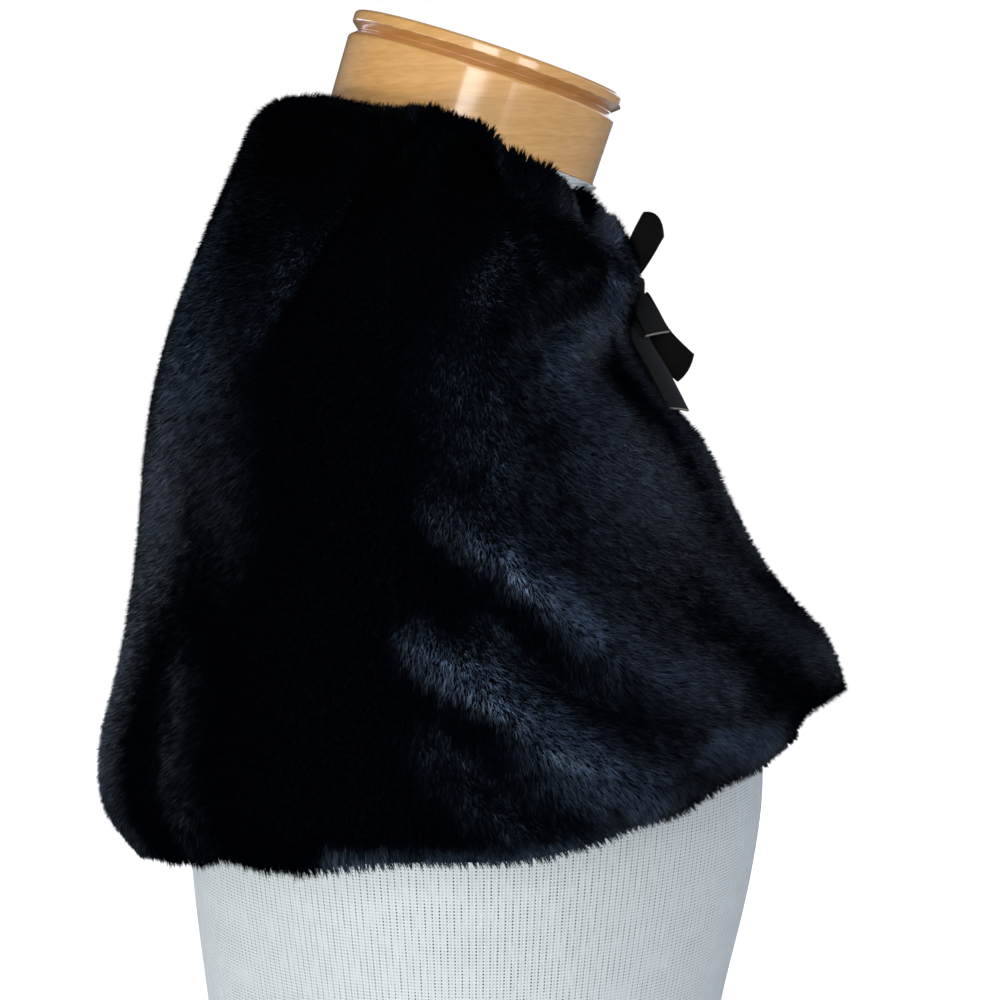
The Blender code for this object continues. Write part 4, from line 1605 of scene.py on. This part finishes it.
@dataclass(frozen=True)
class DressForm:
    """The form's body in its knit cover, and the turned block on its neck."""

    merge: float = 0.02 * MM
    quad_angle: float = math.radians(30)
    quad_skew: float = math.radians(50)
    crease_angle: float = math.radians(50)
    crease: float = 0.9
    finer_levels: int = 2
    neck_tilt: float = math.radians(18)
    neck_foot: tuple[float, float, float] = (0, 5.7 * MM, 560.4 * MM)
    seat_gap: float = 0.3 * MM
    turned_steps: int = 128
    rounding: float = 0.5 * MM
    rounding_steps: int = 3
    rounded_above: float = math.radians(25)
    groove: Span = (27.2, 32.8)  # heights in millimetres of the groove under the rim, painted darker as shade
    profile: tuple[ProfilePoint, ...] = (
        ProfilePoint(0, 37.4),
        ProfilePoint(55.8, 37.4),
        ProfilePoint(56.8, 36.4),
        ProfilePoint(56.8, 32.9),
        ProfilePoint(53.2, 29.9),
        ProfilePoint(56.1, 27.5),
        ProfilePoint(56.6, 26.7),
        ProfilePoint(55.8, 0.0),
        ProfilePoint(0, 0.0),
    )

    def cover(self, node: bpy.types.Object) -> bpy.types.Object:
        """The body, from a finer copy of its solid.

        Args:
            node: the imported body.

        Returns:
            The covered body.
        """
        build = bmesh.new()
        build.from_mesh(node.data)
        bmesh.ops.remove_doubles(build, verts=build.verts, dist=self.merge)
        bmesh.ops.join_triangles(
            build,
            faces=build.faces,
            angle_face_threshold=self.quad_angle,
            angle_shape_threshold=self.quad_skew,
        )
        creases = build.edges.layers.float.new("crease_edge")
        for edge in build.edges:
            if edge.calc_face_angle(0) > self.crease_angle:
                edge[creases] = self.crease
        piece = link_mesh("form_knit_cover", smooth_mesh("form_knit_cover", build))
        finer = piece.modifiers.new("finer", "SUBSURF")
        finer.levels = finer.render_levels = self.finer_levels
        self.apply(piece)
        piece.data.materials.clear()
        piece.data.materials.append(RibKnit().material())
        return settle(piece, Slot.KNIT, "form_body")

    def block(self) -> bpy.types.Object:
        """The neck block, turned from its outline."""
        build = bmesh.new()
        points = [build.verts.new((p.radius * MM, 0, p.height * MM)) for p in self.profile]
        edges = [build.edges.new(pair) for pair in zip(points, points[1:])]
        bmesh.ops.spin(
            build,
            geom=points + edges,
            axis=(0, 0, 1),
            cent=(0, 0, 0),
            angle=math.tau,
            steps=self.turned_steps,
            use_merge=True,
        )
        bmesh.ops.remove_doubles(build, verts=build.verts, dist=self.merge)
        bmesh.ops.recalc_face_normals(build, faces=build.faces)
        # painted shade: faces in the groove under the rim get the second, darker wood
        low, high = (height * MM for height in self.groove)
        for face in build.faces:
            face.material_index = int(low < face.calc_center_median().z < high)
        tilt = Matrix.Rotation(self.neck_tilt, 4, "X")
        seat = Matrix.Translation((0, 0, self.seat_gap))
        build.transform(Matrix.Translation(Vector(self.neck_foot)) @ tilt @ seat)
        piece = link_mesh("neck_block_turned", smooth_mesh("neck_block_turned", build))
        rounded = piece.modifiers.new("rounded", "BEVEL")
        rounded.width = self.rounding
        rounded.segments = self.rounding_steps
        rounded.limit_method = "ANGLE"
        rounded.angle_limit = self.rounded_above
        rounded.harden_normals = True
        self.apply(piece)
        # the second wood is the groove's painted shade
        for wood in (VarnishedWood(), VarnishedWood("stained_wood_groove", "#d39a58", "#b0743a")):
            piece.data.materials.append(wood.material())
        return settle(piece, Slot.WOOD, "neck_block")

    @staticmethod
    def apply(piece: bpy.types.Object) -> None:
        """Makes a piece's modifiers part of its mesh."""
        evaluated = piece.evaluated_get(bpy.context.evaluated_depsgraph_get())
        mesh = bpy.data.meshes.new_from_object(evaluated)
        piece.modifiers.clear()
        piece.data = mesh
        mesh.name = piece.name


@dataclass(frozen=True)
class RibbonStretch:
    """One stretch of ribbon on its middle line. A loop's outside faces away from its middle."""

    name: str
    node: str
    points: tuple[RibbonPoint, ...]
    across: tuple[float, float, float]
    is_loop: bool
    flat_length: float
    end_round: float = 0.0  # how far a loop's edges lag behind its middle at the fold
    end_round_power: int = 6  # keeps that lag near the fold
    rows: int = 60
    columns: int = 9
    width: float = 13 * MM
    wall: float = 0.9 * MM
    cup: float = 0.5 * MM
    knotted_share: float = 0.62
    gather_power: float = 0.6
    loop_map_start: float = 10.0  # millimetres, because a loop shows no cut end

    def build(self, material: bpy.types.Material) -> bpy.types.Object:
        """The ribbon as a thin closed sheet.

        Args:
            material: the ribbon's material.

        Returns:
            The ribbon's object.
        """
        down = np.linspace(0, 1, self.rows)
        table = np.array([(p.left, -p.forward, p.height) for p in self.points]) * MM
        middle = rows_at(table, down * (len(table) - 1))
        run = np.gradient(middle, axis=0)
        across = np.array(self.across)
        outward = unit(np.cross(run, across))
        if self.is_loop:
            facing = np.einsum("ij,ij->i", outward, middle - middle.mean(0))
            outward = np.where(facing[:, None] < 0, -outward, outward)
        opening = np.sin(math.pi * down * (1.0 if self.is_loop else 0.5)) ** self.gather_power
        reach = self.width * (self.knotted_share + (1 - self.knotted_share) * opening)
        share = np.linspace(-0.5, 0.5, self.columns)
        to_edge = (2 * share) ** 2
        flat_points = middle[:, None] + reach[:, None, None] * share[None, :, None] * across
        if self.is_loop:
            back = unit(middle[0] - middle[self.rows // 2])
            lag = self.end_round * (opening**self.end_round_power)[:, None] * to_edge[None, :]
            flat_points = flat_points + lag[..., None] * back
        cup = self.cup * (1 - to_edge)
        outer = flat_points + outward[:, None] * (self.wall + cup)[None, :, None]
        inner = flat_points + outward[:, None] * cup[None, :, None]
        length = np.concatenate(([0], np.cumsum(np.linalg.norm(np.diff(middle, axis=0), axis=1)))) / MM
        from_end = length + self.loop_map_start if self.is_loop else length[-1] - length
        flat = np.stack(np.broadcast_arrays(share[None, :] * self.width / MM, from_end[:, None]), axis=-1)
        piece = closed_sheet(self.name, outer, inner, flat)
        piece.data.materials.append(material)
        return settle(piece, Slot.RIBBON, self.node)


@dataclass(frozen=True)
class RibbonBow:
    """The ribbon bow at the neck: knot, loops, tails and the two ties that hold the fronts."""

    drape: CapeDrape = CapeDrape()
    knot: RibbonPoint = RibbonPoint(-6, 64, 502.5)
    knot_size: tuple[float, float, float] = (10 * MM, 8.5 * MM, 8 * MM)
    knot_cuts: int = 11
    knot_roundness: float = 0.55
    knot_bulge: float = 1.25
    pleat_depth: float = 0.05
    pleats: tuple[float, float] = (9.0, 2.2)  # radians of a pleat's wave across the knot and up it
    knot_map_start: float = 100.0  # millimetres, because the knot shows no cut end
    sewn_angle: float = 172.6  # inside the front edge
    sewn_in: float = 0.7 * MM
    tie_start: float = 3.62
    tie_end: float = 4.02
    tie_share: float = 0.6
    tie_wall: float = 1 * MM
    tie_gap: float = 0.3 * MM  # beside the knot
    tie_grid: tuple[int, int] = (7, 9)
    tie_flat: tuple[float, float] = (10.0, 12.0)  # millimetres on its map
    tie_map_start: float = 20.0
    loop_up: tuple[RibbonPoint, ...] = (
        RibbonPoint(-6, 61.8, 509.3),
        RibbonPoint(-9, 64.6, 514.5),
        RibbonPoint(-9.5, 68.4, 522),
        RibbonPoint(-5.5, 72.8, 530.2),
        RibbonPoint(-1.5, 68.4, 522),
        RibbonPoint(-0.5, 64.6, 514.5),
        RibbonPoint(-3, 61.8, 509.3),
    )
    loop_down: tuple[RibbonPoint, ...] = (
        RibbonPoint(-5.5, 67.3, 497.2),
        RibbonPoint(-9.5, 70.5, 489.5),
        RibbonPoint(-11, 75.8, 479.2),
        RibbonPoint(-7, 84.9, 469.8),
        RibbonPoint(-2, 75.8, 479.2),
        RibbonPoint(-0.5, 70.5, 489.5),
        RibbonPoint(-2.5, 67.3, 497.2),
    )
    tail_short: tuple[RibbonPoint, ...] = (
        RibbonPoint(-10.7, 63.4, 500.4),
        RibbonPoint(-17.5, 67.0, 494.8),
        RibbonPoint(-21, 69.6, 489.6),
        RibbonPoint(-23.5, 72.4, 483.8),
    )
    tail_long: tuple[RibbonPoint, ...] = (
        RibbonPoint(-9.5, 63.6, 498),
        RibbonPoint(-18, 64.4, 490.4),
        RibbonPoint(-27, 65.2, 482),
        RibbonPoint(-34, 72.2, 469.4),
        RibbonPoint(-37, 79.8, 454.4),
    )

    def stretches(self) -> tuple[RibbonStretch, ...]:
        """The four stretches of ribbon that stand out of the knot."""
        return (
            RibbonStretch(
                name="ribbon_loop_up",
                node="bow_loop_up",
                points=self.loop_up,
                across=(0, -0.62, -0.78),
                is_loop=True,
                flat_length=0.051,
                end_round=3.0 * MM,
            ),
            RibbonStretch(
                name="ribbon_loop_down",
                node="bow_loop_down",
                points=self.loop_down,
                across=(0, -0.51, 0.86),
                is_loop=True,
                flat_length=0.070,
                end_round=0.9 * MM,
            ),
            RibbonStretch(
                name="ribbon_tail_short",
                node="bow_tail_short",
                points=self.tail_short,
                across=(0.66, -0.74, 0.12),
                is_loop=False,
                flat_length=0.023,
            ),
            RibbonStretch(
                name="ribbon_tail_long",
                node="bow_tail_long",
                points=self.tail_long,
                across=(0.74, -0.67, -0.1),
                is_loop=False,
                flat_length=0.057,
            ),
        )

    def centre(self) -> np.ndarray:
        """The knot's middle, in metres."""
        return np.array((self.knot.left, -self.knot.forward, self.knot.height)) * MM

    def knot_piece(self, material: bpy.types.Material) -> bpy.types.Object:
        """The knot: a rounded lump with the pleats of the gathered ribbon.

        Args:
            material: the ribbon's material.

        Returns:
            The knot's object.
        """
        build = bmesh.new()
        bmesh.ops.create_cube(build, size=2)
        bmesh.ops.subdivide_edges(build, edges=build.edges, cuts=self.knot_cuts, use_grid_fill=True)
        half, middle = np.array(self.knot_size) / 2, Vector(self.centre())
        across, up = self.pleats
        for point in build.verts:
            around = Vector(point.co).normalized()
            body = Vector(point.co).lerp(around * self.knot_bulge, self.knot_roundness)
            pleat = 1 - self.pleat_depth * (1 + math.cos(across * around.x + up * around.z)) / 2
            limit = max(abs(body.x), abs(body.y), abs(body.z), 1.0)
            point.co = Vector([c * pleat / limit * h for c, h in zip(body, half)]) + middle
        mesh = smooth_mesh("ribbon_knot", build)
        points = np.array([v.co for v in mesh.vertices]) / MM
        map_cloth(mesh, np.stack((points[:, 2], points[:, 0] + self.knot_map_start), axis=-1))
        mesh.materials.append(material)
        return settle(link_mesh("ribbon_knot", mesh), Slot.RIBBON, "bow_knot")

    def tie(self, side: Side, material: bpy.types.Material) -> bpy.types.Object:
        """A tie, from its front's edge to the knot.

        Args:
            side: the wearer's side.
            material: the ribbon's material.

        Returns:
            The tie's object.
        """
        towards = -side.value
        share, down = np.meshgrid(*(np.linspace(0, 1, count) for count in self.tie_grid))
        station = self.tie_start + (self.tie_end - self.tie_start) * share
        angle = np.full(share.shape, side.value * self.sewn_angle)
        sewn = (self.drape.outside(angle, station, 0.0) + self.drape.inside(angle, station)) / 2
        sewn[..., 0] += towards * self.sewn_in
        tied = np.broadcast_to(self.centre(), sewn.shape).copy()
        tied[..., 0] -= towards * (self.knot_size[0] / 2 + self.tie_gap)
        tied[..., 2] += self.knot_size[2] * (0.5 - share) * self.tie_share
        middle = sewn + (tied - sewn) * down[..., None]
        half = np.array((0, self.tie_wall / 2, 0))
        wide, long = self.tie_flat
        flat = np.stack((share * wide, self.tie_map_start + down * long), axis=-1)
        piece = closed_sheet(f"ribbon_tie_{side.name.lower()}", middle - half, middle + half, flat)
        piece.data.materials.append(material)
        return settle(piece, Slot.RIBBON, f"tie_{side.name.lower()}")

    def build(self) -> None:
        """Makes the bow."""
        material = GrosgrainRibbon().material()
        # painted shade: the loops get a blacker, less glossy copy of the ribbon than its ribs, as they lie more
        # in shade than the tails
        shaded_loop_ribbon = GrosgrainRibbon("black_grosgrain_dull_side", "#020202", "#060606", 0.09).material()
        knot = self.knot_piece(material)
        ties = [self.tie(side, material) for side in Side]
        for stretch in self.stretches():
            ribbon = stretch.build(shaded_loop_ribbon if stretch.is_loop else material)


@dataclass(frozen=True)
class Softbox:
    """One soft light: where it is, what it faces, its size and its power in watts."""

    name: str
    place: tuple[float, float, float]
    aim: tuple[float, float, float]
    width: float
    height: float
    power: float
    colour: str = "#ffffff"


@dataclass(frozen=True)
class Studio:
    """White paper, soft lights and a camera at the wearer's right side."""

    aim: tuple[float, float, float] = (0, -9.9 * MM, 416.16 * MM)
    distance: float = 1.15
    elevation: float = math.radians(4.5)
    frame_width: float = 0.408  # metres across the picture at the aim
    sensor: float = 36.0  # millimetres
    paper_half: float = 6.0
    paper_squares: int = 8
    ambient: float = 0.04
    lights: tuple[Softbox, ...] = (
        Softbox("window_left", (-2.25, 0.06, 0.80), (0, 0, 0.58), 0.80, 0.50, 13),
        Softbox("window_right", (-1.85, -1.2, 0.42), (0, 0, 0.58), 0.62, 0.24, 5),
        Softbox("above_camera", (-1.7, -0.1, 1.6), (0, 0, 0.42), 1.2, 0.6, 9, "#eef3ff"),
        Softbox("top", (-0.9, 0.1, 2.1), (0, 0, 0.6), 1.2, 0.6, 4),
        Softbox("low_fill", (-1.3, 1.5, 0.2), (0, 0, 0.2), 1.6, 0.3, 14),
        Softbox("front", (0.2, -2.1, 1.25), (0, 0, 0.42), 1.5, 1.2, 8, "#dfe9ff"),
        Softbox("far_front", (1.65, -1.05, 0.75), (0, 0, 0.42), 1.8, 0.6, 9, "#dfe9ff"),
        Softbox("far_back", (1.3, 1.6, 0.6), (0, 0, 0.45), 1.4, 0.6, 10, "#dfe9ff"),
    )

    def paper(self) -> None:
        """Lays the paper that the part stands on."""
        build = bmesh.new()
        squares = self.paper_squares
        bmesh.ops.create_grid(build, x_segments=squares, y_segments=squares, size=self.paper_half)
        mesh = smooth_mesh("studio_paper", build)
        mesh.materials.append(StudioPaper().material())
        link_mesh("studio_paper", mesh)

    def surroundings(self) -> None:
        """A white backdrop that lights the part only dimly."""
        world = bpy.data.worlds.new("white_studio")
        world.use_nodes = True
        world.node_tree.nodes.clear()
        add = partial(add_node, world.node_tree)
        seen = add("ShaderNodeBackground", {"Color": WHITE, "Strength": 1.0})
        dim = add("ShaderNodeBackground", {"Color": WHITE, "Strength": self.ambient})
        path = add("ShaderNodeLightPath", {})
        mixed = add("ShaderNodeMixShader", {0: path.outputs["Is Camera Ray"], 1: dim, 2: seen})
        add("ShaderNodeOutputWorld", {"Surface": mixed})
        bpy.context.scene.world = world

    def light(self, box: Softbox) -> None:
        """Hangs one soft light."""
        lamp = bpy.data.lights.new(box.name, "AREA")
        lamp.shape = "RECTANGLE"
        lamp.size, lamp.size_y = box.width, box.height
        lamp.energy = box.power
        lamp.color = linear(box.colour)[:3]
        made = bpy.data.objects.new(box.name, lamp)
        made.location = box.place
        made.rotation_euler = (Vector(box.aim) - Vector(box.place)).to_track_quat("-Z", "Y").to_euler()
        bpy.context.scene.collection.objects.link(made)

    def camera(self) -> None:
        """Sets the camera level with the cape, at the wearer's right."""
        lens = bpy.data.cameras.new("camera")
        lens.sensor_width = self.sensor
        lens.lens = lens.sensor_width * self.distance / self.frame_width
        made = bpy.data.objects.new("camera", lens)
        back = Vector((-math.cos(self.elevation), 0, math.sin(self.elevation)))
        made.location = Vector(self.aim) + back * self.distance
        made.rotation_euler = (-back).to_track_quat("-Z", "Y").to_euler()
        bpy.context.scene.collection.objects.link(made)
        bpy.context.scene.camera = made

    def build(self) -> None:
        """Makes the whole studio."""
        bpy.context.scene.view_settings.view_transform = "Standard"
        self.camera()
        self.paper()
        self.surroundings()
        for box in self.lights:
            self.light(box)


def corners(box: tuple[Vector, Vector]) -> list[list[float]]:
    """A box's two corners as plain lists."""
    return [list(corner) for corner in box]


def main() -> None:
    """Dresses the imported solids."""
    logging.basicConfig(level=logging.INFO, format="%(name)s: %(message)s")
    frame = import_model()
    Studio().build()
    FurCape().build()
    form = DressForm()
    form.cover(frame["nodes"]["form_body"])
    form.block()
    RibbonBow().build()


if __name__ == "__main__":
    main()
